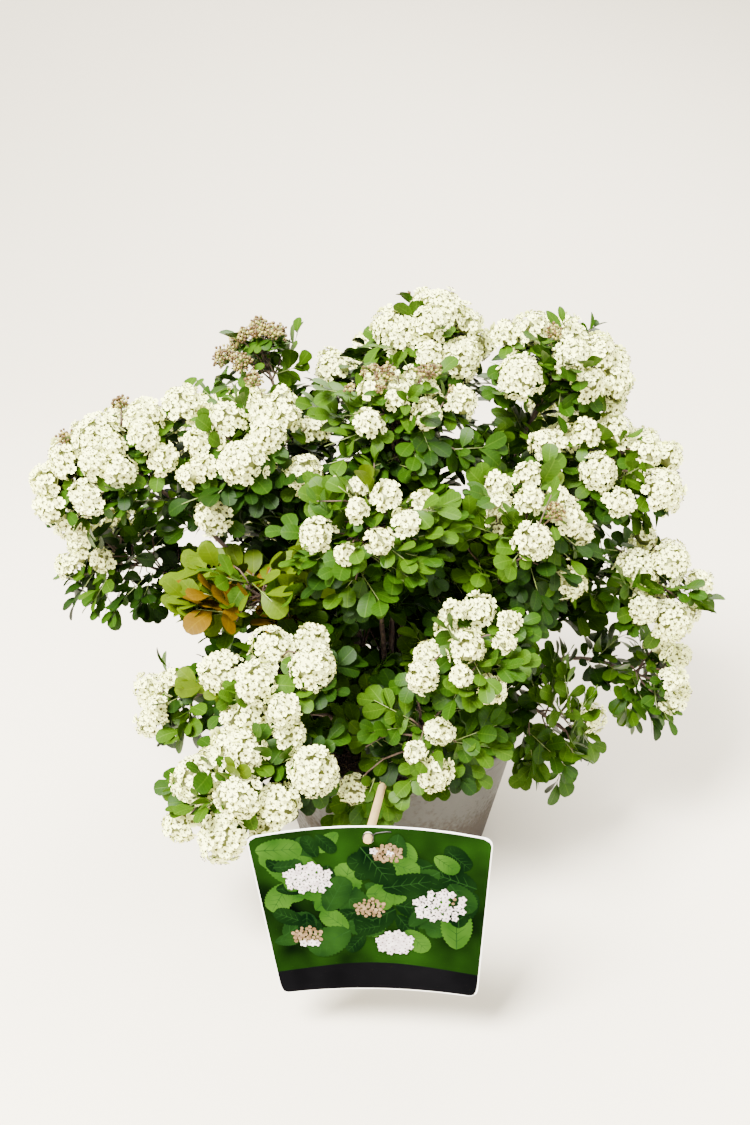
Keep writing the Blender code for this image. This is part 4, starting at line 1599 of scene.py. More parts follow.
def pebble_template(seed: int, rings: int = 3, sides: int = 5, rough: float = 0.25) -> Template:
    """A rough ball, one across, for a crumb or a bud.

    Args:
        seed: varies its lumps.
        rings: how many rings it has between its poles.
        sides: how many sides a ring has.
        rough: how lumpy it is.

    Returns:
        The ball.
    """
    rng = random.Random(seed)
    points = [(0.0, 0.0, -0.5)]
    for k in range(rings):
        polar = math.pi * (k + 1) / (rings + 1)
        for turn in [math.tau * (j + 0.5 * (k % 2)) / sides for j in range(sides)]:
            r = 0.5 * (1 + rng.uniform(-rough, rough))
            flat = r * math.sin(polar)
            points.append((flat * math.cos(turn), flat * math.sin(turn), -r * math.cos(polar)))
    ends = [(j, (j + 1) % sides) for j in range(sides)]
    last = 1 + (rings - 1) * sides
    faces = [(0, 1 + n, 1 + j) for j, n in ends]
    for low in range(1, last, sides):
        for j, n in ends:
            faces += [(low + j, low + n, low + sides + n), (low + j, low + sides + n, low + sides + j)]
    faces += [(last + j, last + n, last + sides) for j, n in ends]
    return Template(np.array([*points, (0.0, 0.0, 0.5)]), np.array(faces))


# The plant


Rows = list[tuple[Array, Array, Array, Array]]


def gather(things: Sequence[object], key: str) -> Array:
    """One field of some heads or sprays."""
    return np.array([getattr(thing, key) for thing in things])


@dataclass
class Foliage:
    """The leaves, in one joined piece for each tone.

    Rows of leaves are their roots, the ways that they point and their upper sides (n x 3 each), and their
    lengths."""

    leaf_length: float = 0.0182
    young_leaf_length: float = 0.0235
    long_shoot_leaf: float = 0.0265
    leaves_a_spray: int = 9
    leaves_a_collar: int = 5
    leaves_a_rod: int = 11
    stalk_share: float = 0.86
    least_collared: float = 0.013
    pieces: dict[Tone, Piece] = field(default_factory=dict)
    heads: list[Head] = field(default_factory=list)

    def of_sprays(self, sprays: list[Spray], length: float, rng: Rng) -> Rows:
        """The leaves round the shoots of some sprays.

        Args:
            sprays: the sprays.
            length: how long a leaf is.
            rng: the source of draws.

        Returns:
            Rows of leaves.
        """
        count, rows = len(sprays), []
        roots, out, up, reach = (gather(sprays, key) for key in ("root", "out", "up", "length"))
        side = unit(np.cross(out, up))
        lift = np.cross(side, out)
        spin = rng.uniform(0, math.tau, count)
        for k, share in enumerate(np.arange(self.leaves_a_spray) / (self.leaves_a_spray - 1)):
            turn = spin + k * GOLDEN + rng.normal(0, 0.25, count)
            radial = unit(side * column(np.cos(turn)) + lift * column(0.60 * np.sin(turn)))
            lean = column(1.25 - 0.95 * share + rng.normal(0, 0.14, count))
            way = out * np.cos(lean) + radial * np.sin(lean) + lift * 0.12
            top = lift + rng.normal(0, 0.30, out.shape) + radial * 0.12
            size = length * (0.66 + 0.44 * math.sin(math.pi * (0.12 + 0.72 * share)))
            at = roots + out * column(reach * self.stalk_share * (0.08 + 0.92 * share))
            rows.append((at, way, top, size * rng.uniform(0.82, 1.16, count)))
        return rows

    def of_collars(self, heads: list[Head], rng: Rng) -> Rows:
        """The leaves that stand round under some heads.

        Args:
            heads: the heads.
            rng: the source of draws.

        Returns:
            Rows of leaves.
        """
        count, rows = len(heads), []
        base, look, width = (gather(heads, key) for key in ("base", "look", "diameter"))
        side = np.array([across(head.look) for head in heads])
        spin = rng.uniform(0, math.tau, count)
        for k in range(self.leaves_a_collar):
            turn = spin + k * math.tau / self.leaves_a_collar + rng.normal(0, 0.3, count)
            radial = radials(side, np.cross(look, side), turn)
            way = radial - look * column(rng.uniform(0.05, 0.45, count))
            top = look + radial * 0.2 + rng.normal(0, 0.22, look.shape)
            size = np.clip(width * rng.uniform(0.50, 0.74, count), 0.011, 0.024)
            at = base - look * column(rng.uniform(0.003, 0.010, count)) + radial * column(width * 0.08)
            rows.append((at, way, top, size))
        return rows

    def of_rods(self, rods: list[Line], rng: Rng) -> Rows:
        """The leaves of some long upright shoots.

        Args:
            rods: the shoots' feet and tips.
            rng: the source of draws.

        Returns:
            Rows of leaves.
        """
        count, rows = len(rods), []
        feet, tips = (np.array(ends) for ends in zip(*rods))
        axis = unit(tips - feet)
        side = unit(np.cross(axis, [[0.3, 1.0, 0.0]]))
        for k, share in enumerate(np.arange(self.leaves_a_rod) / (self.leaves_a_rod - 1)):
            radial = radials(side, np.cross(axis, side), k * GOLDEN + rng.uniform(-0.3, 0.3, count))
            lean = column(1.15 - 0.70 * share + rng.normal(0, 0.10, count))
            way = axis * np.cos(lean) + radial * np.sin(lean)
            top = axis - radial * 0.2 + rng.normal(0, 0.15, axis.shape)
            size = self.long_shoot_leaf * (1.12 - 0.62 * share) * rng.uniform(0.85, 1.1, count)
            rows.append((feet + (tips - feet) * (0.42 + 0.58 * share), way, top, size))
        return rows

    def in_heads(self, points: Array) -> Array:
        """Finds the points in a head or just in front of one.

        Args:
            points: the points (n x 3).

        Returns:
            One True or False for each point.
        """
        bases, looks, widths = (gather(self.heads, key) for key in ("base", "look", "diameter"))
        away = points[:, None] - bases
        rise = np.einsum("nhk,hk->nh", away, looks)
        aside = np.linalg.norm(away - rise[..., None] * looks, axis=2)
        return ((rise > 0.0) & (rise < widths * 1.4) & (aside < widths * 0.46)).any(axis=1)

    def put(self, mass: Mass, tone: Tone, rows: Rows, shapes: list[Template], inside: bool) -> None:
        """Adds the leaves that have room to their tone's piece.

        Args:
            mass: the mass that they belong to.
            tone: their tone.
            rows: rows of leaves.
            shapes: the shapes that they take turns with.
            inside: True if they keep to the mass's own space.
        """
        places, ways, tops, sizes = (np.concatenate(part) for part in zip(*rows))
        middles, ends = (places + unit(ways) * column(sizes * share) for share in (0.55, 1.0))
        kinds = np.arange(len(ways)) * 5 % len(shapes)
        for points in (middles, ends):
            kinds[self.in_heads(points) | mass.room.in_pot(points)] = -1
        if inside:
            kinds[~mass.room.owned(mass.index, middles, 1.26, -0.006)] = -1
        self.pieces[tone].copies(shapes, kinds, axes_along(ways, tops), places, sizes)

    def build(self, masses: list[Mass]) -> None:
        """Builds the leaves of all the masses.

        Args:
            masses: the masses.
        """
        ranges = {"width": (0.62, 0.80), "tip": (0.40, 0.50), "cup": (0.08, 0.42), "droop": (0.00, 0.20)}
        ranges |= {"twist": (-0.25, 0.25), "teeth": (0.03, 0.08), "root": (0.58, 0.85)}
        rounded = LeafShape.several("rounded leaves", 7, ranges)
        ranges = {"cup": (0.15, 0.40), "droop": (0.05, 0.22), "twist": (-0.2, 0.2)}
        pointed = LeafShape.several("pointed leaves", 4, ranges, width=0.46, root=0.72, tip=0.66, teeth=0.0)
        self.heads = [head for mass in masses for head in mass.heads]
        for tone in Tone:
            name = tone.value.name.replace("leaf_", "leaves_")
            self.pieces[tone] = Piece(name, tone.value.material(), "foliage", MASS_NODES)
        for mass in masses:
            rng = np.random.default_rng(1000 + mass.index)
            length = self.young_leaf_length if mass.bronze else self.leaf_length
            for tone in Tone:
                for sprays, inside in ((mass.sprays, True), (mass.loose, False)):
                    chosen = [spray for spray in sprays if spray.tone is tone]
                    if chosen:
                        self.put(mass, tone, self.of_sprays(chosen, length, rng), rounded, inside)
            collared = [head for head in mass.heads if head.diameter > self.least_collared]
            for first, tone in enumerate((Tone.MID, Tone.FULL, Tone.MID)):
                if collared[first::3]:
                    self.put(mass, tone, self.of_collars(collared[first::3], rng), rounded, False)
            for first, tone in enumerate((Tone.MID, Tone.FULL)):
                if mass.rods[first::2]:
                    self.put(mass, tone, self.of_rods(mass.rods[first::2], rng), pointed, False)
        for piece in self.pieces.values():
            piece.build()


@dataclass
class Blossom:
    """The umbels: petals, flower middles, anthers, stalks, buds and a shade core under each head's flowers,
    each kind a joined piece. A shade core's colour stands for the stalks and shade seen between the flowers:
    partly the stalks' green, partly painted shade.
    """

    flower_r: float = 0.0047
    flower_area: float = 5.9e-5
    bud_d: float = 0.0026
    bud_area: float = 1.15e-5
    brown_share: float = 0.60
    # core_share, core_squash and core_rise size the ball under each head's flowers that paints the shade
    # between them
    core_share: float = 0.76
    core_squash: float = 0.70
    core_rise: float = 0.16

    def build(self, heads: list[Head]) -> None:
        """Builds all the heads.

        Args:
            heads: the heads.
        """
        finishes = {
            "petals": PetalFinish(),
            "flower_middles": PlainFinish("flower_middle", (0.058, 0.058, 0.004), 0.5),
            "anthers": PlainFinish("anther", (0.022, 0.016, 0.006), 0.7),
            "flower_stalks": PlainFinish("flower_stalk", (0.16, 0.22, 0.05), 0.5),
            "buds_cream": PlainFinish("bud_cream", (0.27, 0.23, 0.045), 0.55),
            "buds_brown": PlainFinish("bud_brown", (0.068, 0.034, 0.003), 0.6),
            # the shade cores: partly the stalks' green, partly painted shade in the gaps between the flowers
            "umbel_cores": PlainFinish("umbel_core", (0.15, 0.165, 0.04), 0.6, 0.35, 500.0),
        }
        made = [Piece(name, finish.material(), "foliage", MASS_NODES) for name, finish in finishes.items()]
        petals, middles, anthers, stalks, cream, brown, shade_cores = made
        flowers = [flower_template(0.14 + 0.09 * k, 0.52, k) for k in range(4)]
        specks, dome = [specks_template(k) for k in range(3)], dome_template(0.27, 0.17)
        bud, ball = pebble_template(3, 3, 6, 0.06), pebble_template(4, 6, 11, 0.10)
        for k, head in enumerate(heads):
            rng = np.random.default_rng(5000 + k)
            if head.in_bud:
                places, looks = self.spots(head, self.bud_area, 0.86, rng)
                places -= looks * column(rng.uniform(0.0, 0.004, len(places)))
                sizes = self.bud_d * rng.uniform(0.75, 1.15, len(places))
                turns = axes_facing(looks, rng)
                kinds = np.where(rng.random(len(places)) < self.brown_share, 1, 0)
                cream.copies([bud], kinds, turns, places, sizes)
                brown.copies([bud], 1 - kinds, turns, places, sizes)
            else:
                places, looks = self.spots(head, self.flower_area, 1.0 - self.flower_r / head.diameter, rng)
                places += looks * column(rng.normal(0, 0.0005, len(places)))
                sizes = self.flower_r * rng.uniform(0.90, 1.12, len(places))
                turns = axes_facing(looks + rng.normal(0, 0.17, looks.shape), rng)
                kinds = rng.integers(0, len(flowers), len(places))
                petals.copies(flowers, kinds, turns, places, sizes)
                middles.copies([dome], kinds * 0, turns, places, sizes)
                anthers.copies(specks, kinds % len(specks), turns, places, sizes)
                # a ball under the flowers whose colour paints the stalks and shade seen between them
                look = np.array([head.look])
                turns = axes_facing(look, rng) * [1.0, 1.0, self.core_squash]
                centre = np.array([head.base]) + look * (head.diameter * self.core_rise)
                shade_cores.copies([ball], np.zeros(1), turns, centre, np.array([head.diameter * self.core_share]))
            hub = np.array(head.base) - np.array(head.look) * (head.diameter * 0.12)
            ends = places - looks * 0.0002
            lines = np.stack([np.broadcast_to(hub, ends.shape), ends], axis=1)
            stalks.add(*tubes(lines, (0.00035, 0.00028), 3))
        for piece in made:
            piece.build()

    @staticmethod
    def spots(head: Head, area: float, fill: float, rng: Rng) -> tuple[Array, Array]:
        """Where a head's flowers or buds sit: a golden spiral over its dome.

        Args:
            head: the head.
            area: how much of the dome one takes.
            fill: how wide the dome is, as a share of the head.
            rng: the source of draws.

        Returns:
            Their places and the ways that they face (n x 3 each).
        """
        wide, deep = head.diameter / 2 * fill, head.diameter * RULE.head_depth_share * 0.94
        count = max(7, round(1.76 * head.diameter**2 / area))
        k = np.arange(count)
        polar = np.arccos(1 - 1.20 * (k + 0.5) / count)
        turn = k * GOLDEN + rng.uniform(0, math.tau)
        local = np.stack([np.sin(polar) * np.cos(turn), np.sin(polar) * np.sin(turn), np.cos(polar)], axis=1)
        local += rng.normal(0, 0.035, local.shape)
        squash = np.array([wide, wide, deep])
        side, look = np.array(across(head.look)), np.array(head.look)
        turned = np.stack([side, np.cross(look, side), look])
        lumps = 1 + 0.07 * np.sin(column(turn) * 2 + head.diameter * 900)
        places = np.array(head.base) + look * (head.diameter * 0.05) + (local * squash * lumps) @ turned
        return places, unit((local / squash * wide) @ turned + look * 0.12)


@dataclass
class Wood:
    """The stool, the boughs with the stems that they go on as, and the twigs."""

    bough_steps: int = 22
    stem_steps: int = 12
    bough_sides: int = 9
    twig_steps: int = 5
    twig_radii: Pair = (0.00095, 0.00050)
    shoot_radii: Pair = (0.00050, 0.00025)
    node_spacing: float = 0.017
    flare_r: float = 0.037
    flare_lobes: int = 5
    flare_depth: float = 0.004
    flare_share: float = 0.2
    dome_edge: float = math.radians(74)
    stool_rings: int = 26
    stool_sides: int = 90

    def boughs(self, masses: list[Mass]) -> None:
        """Builds each bough and its mass's stem as one tapering limb with nodes and bark.

        Args:
            masses: the masses.
        """
        bark = BarkFinish("bark", (0.040, 0.024, 0.017), (0.165, 0.120, 0.085))
        piece = Piece("boughs", bark.material(), "bark", BOUGH_NODES)
        for mass in masses:
            line = [STOOL_CENTRE + mass.way * (RULE.stool_r * 0.93)]
            if mass.shoot.arch:
                line += mass.shoot.bough(mass.way, self.bough_steps)[0]
            line += [along_stem(mass.stem, k / self.stem_steps) for k in range(self.stem_steps + 1)]
            points = np.array(line)
            points[1:-1] = (points[:-2] + points[1:-1] * 2 + points[2:]) / 4
            base, top = (RULE.bough_base_r, 0.0011) if mass.shoot.arch else (0.0021, 0.0010)
            travel = np.cumsum([0.0, *np.linalg.norm(np.diff(points, axis=0), axis=1)])
            knots = np.maximum(0, np.sin(travel / self.node_spacing * math.tau + mass.index) - 0.75) * 4
            radii = (base + (top - base) * np.linspace(0, 1, len(points)) ** 0.9) * (1 + 0.16 * knots)
            radii[:2] *= 1.45
            rings, faces = tubes(points[None], radii, self.bough_sides)
            for n, point in enumerate(rings):
                centre = points[n // self.bough_sides]
                rings[n] = centre + (point - centre) * (1 + 0.14 * noise.noise(Vector(point) * 420.0))
            piece.add(rings, faces)
        piece.build()

    def stool_spot(self, t: float, turn: float) -> Pair:
        """A point of the stool: a dome on a lobed, flared foot, ridged with bark.

        Args:
            t: how far up it is, from 0 to 1.
            turn: its turn about the middle.

        Returns:
            Its radius and height.
        """
        foot, edge = POT.soil_top + GAP, STOOL_CENTRE.z + RULE.stool_r * math.cos(self.dome_edge)
        if t < self.flare_share:
            s = t / self.flare_share
            wide = self.flare_r + (RULE.stool_r * math.sin(self.dome_edge) - self.flare_r) * s
            radius = wide + self.flare_depth * math.cos(self.flare_lobes * turn) * (1 - s) ** 2
            height = foot + (edge - foot) * s
        else:
            polar = self.dome_edge * (1 - (t - self.flare_share) / (1 - self.flare_share))
            radius = RULE.stool_r * math.sin(polar)
            height = STOOL_CENTRE.z + RULE.stool_r * math.cos(polar)
        flat = Vector((math.cos(turn) * 30, math.sin(turn) * 30, height * 260))
        return radius + 0.0009 * noise.noise(flat) + 0.0006 * noise.noise(flat * 2.7), height

    def stool(self) -> None:
        """Builds the stool."""
        bark = BarkFinish("stool_bark", (0.046, 0.029, 0.020), (0.150, 0.110, 0.080))
        piece = Piece("stool_bark", bark.material(), "bark", ["stool"])
        piece.add(*lathe(np.linspace(0, 1, self.stool_rings), self.stool_sides, self.stool_spot))
        piece.build()

    def twigs(self, masses: list[Mass]) -> None:
        """Builds the twigs: bowed, tapering, browner by the stem and greener in the sprays.

        Args:
            masses: the masses.
        """
        red = BarkFinish("twig_bark", (0.034, 0.018, 0.010), (0.080, 0.046, 0.028), 0.7)
        brown = Piece("twigs", red.material(), "foliage", MASS_NODES)
        green = PlainFinish("shoot_green", (0.13, 0.17, 0.04), 0.5)
        shoots = Piece("leaf_shoots", green.material(), "foliage", MASS_NODES)
        for mass in masses:
            rng = np.random.default_rng(9000 + mass.index)
            feet, tips = (np.array(ends) for ends in zip(*mass.twigs))
            bow = np.cross(tips - feet, rng.normal(size=feet.shape)) * 0.10 + [[0.0, 0.0, 0.006]]
            self.rods(brown, feet, tips, bow, self.twig_steps, self.twig_radii, 5)
            sprays = mass.sprays + mass.loose
            ends = np.array([spray.root + spray.out * (spray.length * 0.88) for spray in sprays])
            self.rods(shoots, gather(sprays, "root"), ends, ends * 0, 3, self.shoot_radii, 4)
        brown.build()
        shoots.build()

    @staticmethod
    def rods(piece: Piece, feet: Array, tips: Array, bow: Array, steps: int, radii: Pair, sides: int) -> None:
        """Adds tapering rods.

        Args:
            piece: where they are added.
            feet: their lower ends (n x 3).
            tips: their upper ends.
            bow: how far their middles are bent aside.
            steps: how many points each has.
            radii: their radii at the foot and the tip.
            sides: how many sides each has.
        """
        t = np.linspace(0, 1, steps)
        straight = feet[:, None] + (tips - feet)[:, None] * column(t)
        lines = straight + bow[:, None] * column(np.sin(t * math.pi))
        piece.add(*tubes(lines, np.interp(t, (0, 1), radii), sides))


# The pot, its soil and the label


@dataclass
class Pot:
    """The pot's wall, lip and inside, a little uneven as thin plastic is."""

    sides: int = 160
    wall_rings: int = 14
    wobble: float = 0.0006
    least_uneven_r: float = 0.05

    def profile(self) -> list[Pair]:
        """Draws the pot's outline.

        Returns:
            Its radii and heights, from under its middle, out and up, over the rim and to the floor.
        """
        lip_z, wall_top, base = POT.height - POT.lip_height, POT.rim_r - POT.lip_step, POT.base_r
        line = [(0.0, 0.0006), (0.030, 0.0006), (0.060, 0.0004), (base - 0.008, 0.0), (base - POT.foot, 0.0)]
        line += [(base - POT.foot * 0.3, POT.foot * 0.3), (base, POT.foot)]
        across, up = wall_top - POT.lip_step - base, lip_z - POT.lip_step - POT.foot
        shares = [k / self.wall_rings for k in range(1, self.wall_rings + 1)]
        line += [(base + across * s, POT.foot + up * s) for s in shares]
        line += [(wall_top, lip_z), (wall_top + 0.0004, lip_z + 0.003), (POT.rim_r, POT.height - 0.004)]
        line += [(POT.rim_r, POT.height - POT.rim_round), (POT.rim_r - 0.0003, POT.height - 0.0003)]
        line += [(POT.rim_r - POT.rim_round, POT.height)]
        inside = (POT.height, POT.height - 0.004, 0.095, 0.080, 0.04, POT.floor)
        return line + [(POT.inner_radius(z), z) for z in inside] + [(0.04, POT.floor), (0.0, POT.floor)]

    def spot(self, at: Pair, turn: float) -> Pair:
        """A point of the pot, which gives a little in or out.

        Args:
            at: its radius and height on the outline.
            turn: its turn about the middle.

        Returns:
            Its radius and height.
        """
        radius, height = at
        read = Vector((math.cos(turn) * 2.2, math.sin(turn) * 2.2, height * 18))
        give = min(height / POT.height, 1.0) * self.wobble * noise.noise(read)
        return max(radius + give * (radius > self.least_uneven_r), 0.0), height

    def build(self) -> None:
        """Builds the pot."""
        piece = Piece("pot_shell", PotFinish().material(), "pot", ["pot"], sharp=38)
        piece.add(*lathe(self.profile(), self.sides, self.spot))
        piece.build()


@dataclass
class Soil:
    """The soil's top and sides, with crumbs, chips and fibres of peat on it."""

    rings: int = 60
    sides: int = 150
    crumbs: int = 2200
    crumb_sizes: Pair = (0.0014, 0.0046)
    chip_sizes: Pair = (0.0022, 0.0062)
    fibres: int = 320
    fibre_radii: tuple[float, ...] = (0.00022, 0.00026, 0.00022, 0.00014)

    def height(self, x: float, y: float) -> float:
        """Works out how high the soil is.

        Args:
            x: the place across.
            y: the place in depth.

        Returns:
            The height there.
        """
        r, spot = math.hypot(x, y), Vector((x, y, 0.0))
        lumps = 0.0022 * noise.noise(spot * 42) + 0.0012 * noise.noise(spot * 130)
        lumps += 0.0006 * noise.noise(spot * 420)
        rise = 0.0012 * max(0.0, 1 - r / 0.06) - 0.0016 * max(0.0, (r - 0.085) / 0.025)
        return POT.soil_top - 0.0010 + lumps + rise

    def spot(self, at: tuple[float, float | None], turn: float) -> Pair:
        """A point of the soil: its radius, and its height where that is given or else the top's there."""
        top = self.height(at[0] * math.cos(turn), at[0] * math.sin(turn))
        return at[0], top if at[1] is None else at[1]

    def build(self) -> None:
        """Builds the soil."""
        peat = SoilFinish("peat", (0.018, 0.011, 0.008), (0.085, 0.052, 0.034))
        piece = Piece("soil_top", peat.material(), "soil", ["soil"])
        outer, base = POT.inner_radius(POT.soil_top) - GAP, POT.floor + GAP
        rows = [(outer * k / (self.rings - 1), None) for k in range(self.rings)]
        rows += [(POT.inner_radius(z) - GAP, z) for z in (0.060, base)] + [(0.0, base)]
        points, faces = lathe(rows, self.sides, self.spot)
        piece.add(points, faces[:, ::-1])
        piece.build()
        self.build_crumbs()
        self.build_fibres()

    def build_crumbs(self) -> None:
        """Builds the crumbs: mostly dark peat, some brown bark."""
        rng = np.random.default_rng(77)
        shapes = [pebble_template(20 + k, 2, 5, 0.42) for k in range(4)]
        peat = SoilFinish("peat_crumb", (0.016, 0.010, 0.007), (0.060, 0.036, 0.024))
        chip = SoilFinish("bark_chip", (0.075, 0.042, 0.024), (0.20, 0.13, 0.08))
        for name, finish, count, (low, high) in (
            ("soil_crumbs", peat, self.crumbs, self.crumb_sizes),
            ("soil_chips", chip, self.crumbs // 8, self.chip_sizes),
        ):
            r = (POT.inner_radius(POT.soil_top) - 0.003) * np.sqrt(rng.random(count))
            turn = rng.uniform(0, math.tau, count)
            x, y = r * np.cos(turn), r * np.sin(turn)
            sizes = low + (high - low) * rng.random(count) ** 2.2
            z = np.array([self.height(a, b) for a, b in zip(x, y)]) + sizes * 0.12
            turns = axes_facing(rng.normal(size=(count, 3)), rng) * [1.0, rng.uniform(0.6, 0.8), 0.55]
            piece = Piece(name, finish.material(), "soil")
            kinds = rng.integers(0, len(shapes), count)
            piece.copies(shapes, kinds, turns, np.stack([x, y, z], axis=1), sizes)
            piece.build()

    def build_fibres(self) -> None:
        """Builds the fibres that lie on the soil."""
        rng = np.random.default_rng(78)
        lines = []
        for _ in range(self.fibres):
            r = (POT.inner_radius(POT.soil_top) - 0.014) * math.sqrt(rng.random())
            turn, heading = rng.uniform(0, math.tau), rng.uniform(0, math.tau)
            length = rng.uniform(0.004, 0.014)
            x, y = r * math.cos(turn), r * math.sin(turn)
            lines.append([])
            for _ in self.fibre_radii:
                lines[-1].append((x, y, self.height(x, y) + 0.0006 + 0.0008 * rng.random()))
                heading += rng.normal(0, 0.5)
                x, y = x + math.cos(heading) * length / 3, y + math.sin(heading) * length / 3
        piece = Piece("soil_fibres", PlainFinish("peat_fibre", (0.17, 0.105, 0.060), 0.8).material(), "soil")
        piece.add(*tubes(np.array(lines), self.fibre_radii, 4))
        piece.build()


@dataclass
class Label:
    """The card on its peg: a pale fan-shaped card, its printed side, the peg and the tie that holds it.

    Points of the card are x and z about its hole."""

    card_y: float = -0.2735
    top_width: float = 0.166
    bottom_width: float = 0.139
    height: float = 0.132
    top_rise: float = 0.010
    bottom_rise: float = 0.006
    face: float = 0.00055
    corner: float = 0.006
    hole_below_edge: float = 0.009
    roll: float = math.radians(-3.0)
    yaw: float = math.radians(-5.0)
    border: float = 0.0009
    side_steps: int = 30
    leaves_tried: int = 120
    picture_foot: float = 0.19
    picture_margin: float = 0.0018
    flowers_a_head: int = 34
    peg_steps: int = 40
    peg_sides: int = 28
    # the radii of the tie and of the dark line that paints the shade in the card's slit
    tie_and_slit_radii: Pair = (0.00042, 0.00036)

    def hole(self) -> Vector:
        """Where the peg's axis meets the card."""
        axis = PEG.axis()
        return PEG.tip + axis * ((self.card_y - PEG.tip.y) / axis.y)

    def turn(self) -> Matrix:
        """The card's own axes: +X across it and +Z up it."""
        return Matrix.Rotation(self.yaw, 3, "Z") @ Matrix.Rotation(self.roll, 3, "Y")

    def front(self) -> Vector:
        """The way that the printed side faces."""
        return self.turn() @ Vector((0, -1, 0))

    def lay(self, x: float, z: float, proud: float) -> Vector:
        """A point that stands proud of the card's middle plane, towards its printed side."""
        return self.hole() + self.turn() @ Vector((x, -proud, z))

    def edge_heights(self, u: float) -> Pair:
        """The card's lower and upper edges at -1 to 1 across it."""
        bottom = self.hole_below_edge - self.height - self.top_rise + self.bottom_rise
        return bottom - self.bottom_rise * (u * u), self.hole_below_edge - self.top_rise * (u * u)

    def spot(self, u: float, v: float, inset: float = 0.0) -> Pair:
        """A point of the card's face.

        Args:
            u: across it, from -1 to 1.
            v: up it, from 0 to 1.
            inset: how far inside its edge 1 is.

        Returns:
            The point.
        """
        low, high = self.edge_heights(u)
        wide = self.bottom_width + (self.top_width - self.bottom_width) * v
        return u * (wide / 2 - inset), low + inset + (high - low - 2 * inset) * v

    def outline(self, inset: float) -> list[Pair]:
        """The card's outline with rounded corners.

        Args:
            inset: how far inside the edge it runs.

        Returns:
            Its points, clockwise from the top left.
        """
        corners = [(-1.0, 1.0), (1.0, 1.0), (1.0, 0.0), (-1.0, 0.0), (-1.0, 1.0)]
        radius, middle, n = self.corner - inset, self.spot(0, 0.5)[1], self.side_steps
        points = []
        for (u0, v0), (u1, v1) in zip(corners, corners[1:]):
            for t in (k / n for k in range(n)):
                x, z = self.spot(u0 + (u1 - u0) * t, v0 + (v1 - v0) * t, inset)
                for cx, cz in (self.spot(u, v, inset) for u, v in corners[:4]):
                    inward = Vector((-math.copysign(radius, cx), -math.copysign(radius, cz - middle)))
                    centre = Vector((cx, cz)) + inward
                    away = Vector((x, z)) - centre
                    if away.x * inward.x < 0 and away.y * inward.y < 0 and away.length > radius:
                        x, z = centre + away.normalized() * radius
                points.append((x, z))
        return points

    def oval(self, x: float, z: float, wide: float, tall: float, count: int) -> list[Pair]:
        """An oval outline round a point."""
        turns = [math.tau * k / count for k in range(count)]
        return [(x + wide * math.cos(t), z + tall * math.sin(t)) for t in turns]

    def inside(self, points: list[Pair], clear: float) -> bool:
        """Whether a picture's points are on the printed side.

        Args:
            points: the points.
            clear: how far they keep from the hole.

        Returns:
            True if they all are.
        """
        for x, z in points:
            low, high = self.edge_heights(x / (self.top_width / 2))
            v = (z - low) / (high - low)
            wide = (self.bottom_width + (self.top_width - self.bottom_width) * v) / 2
            past_side, past_top = abs(x) > wide - self.picture_margin, z > high - self.picture_margin
            if v <= self.picture_foot or past_top or past_side or math.hypot(x, z) < clear:
                return False
        return True

    def film(self, loops: list[list[Pair]], proud: float, ink: PrintFinish) -> None:
        """Builds a flat printed shape.

        Args:
            loops: its outlines, where one inside another is a hole.
            proud: how far off the card's middle plane it is.
            ink: its ink.
        """
        shape = bmesh.new()
        edges = []
        for loop in loops:
            verts = [shape.verts.new(self.lay(x, z, proud)) for x, z in loop]
            edges += [shape.edges.new(ends) for ends in zip(verts, verts[1:] + verts[:1])]
        bmesh.ops.triangle_fill(shape, use_beauty=True, edges=edges, normal=self.front())
        shape.verts.index_update()
        faces = [[vert.index for vert in face.verts] for face in shape.faces]
        piece = self.print_piece(ink)
        piece.add(np.array([vert.co for vert in shape.verts]), np.array(faces))
        piece.build()
        shape.free()

    def print_piece(self, ink: PrintFinish) -> Piece:
        """A piece of one ink."""
        return Piece(ink.name.replace("print", "label"), ink.material(), "label")

    def patch(self, piece: Piece, outline: list[Pair], proud: float) -> None:
        """Adds a flat shape as a fan of triangles.

        Args:
            piece: where it is added.
            outline: its outline.
            proud: how far off the card's middle plane it is.
        """
        count = len(outline)
        centre = (sum(x for x, _ in outline) / count, sum(z for _, z in outline) / count)
        points = np.array([self.lay(x, z, proud) for x, z in [centre, *outline]])
        faces = np.array([(0, 1 + k, 1 + (k + 1) % count) for k in range(count)])
        facing = np.cross(points[1] - points[0], points[2] - points[0]) @ np.array(self.front())
        piece.add(points, faces[:, ::-1] if facing < 0 else faces)

    def build(self) -> None:
        """Builds the card's printed side, its pictures, the peg and the tie."""
        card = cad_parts["label_card"].data
        card.materials.clear()
        white = PlainFinish("card_white", (0.80, 0.80, 0.77), 0.38, 0.04, 900.0, 0.00002)
        card.materials.append(white.material())
        ground = PrintFinish("print_ground", (0.0004, 0.001, 0.0005), (0.006, 0.024, 0.002), 22.0)
        self.film([self.outline(self.border), self.oval(0.0, 0.0, 0.0037, 0.0048, 24)], self.face, ground)
        inset = self.border + 0.0002
        across = [k / 12 - 1 for k in range(25)]
        band = [self.spot(u, 0.155 + 0.012 * math.cos(math.pi * u), inset) for u in across]
        band += [point for point in self.outline(inset) if point[1] < self.spot(0, 0.13)[1] - 0.004]
        ink = PrintFinish("print_band", (0.0014, 0.0014, 0.0017), (0.0026, 0.0026, 0.0031))
        self.film([band], self.face + 0.00006, ink)
        self.build_pictures()
        self.build_peg()
        self.build_tie()

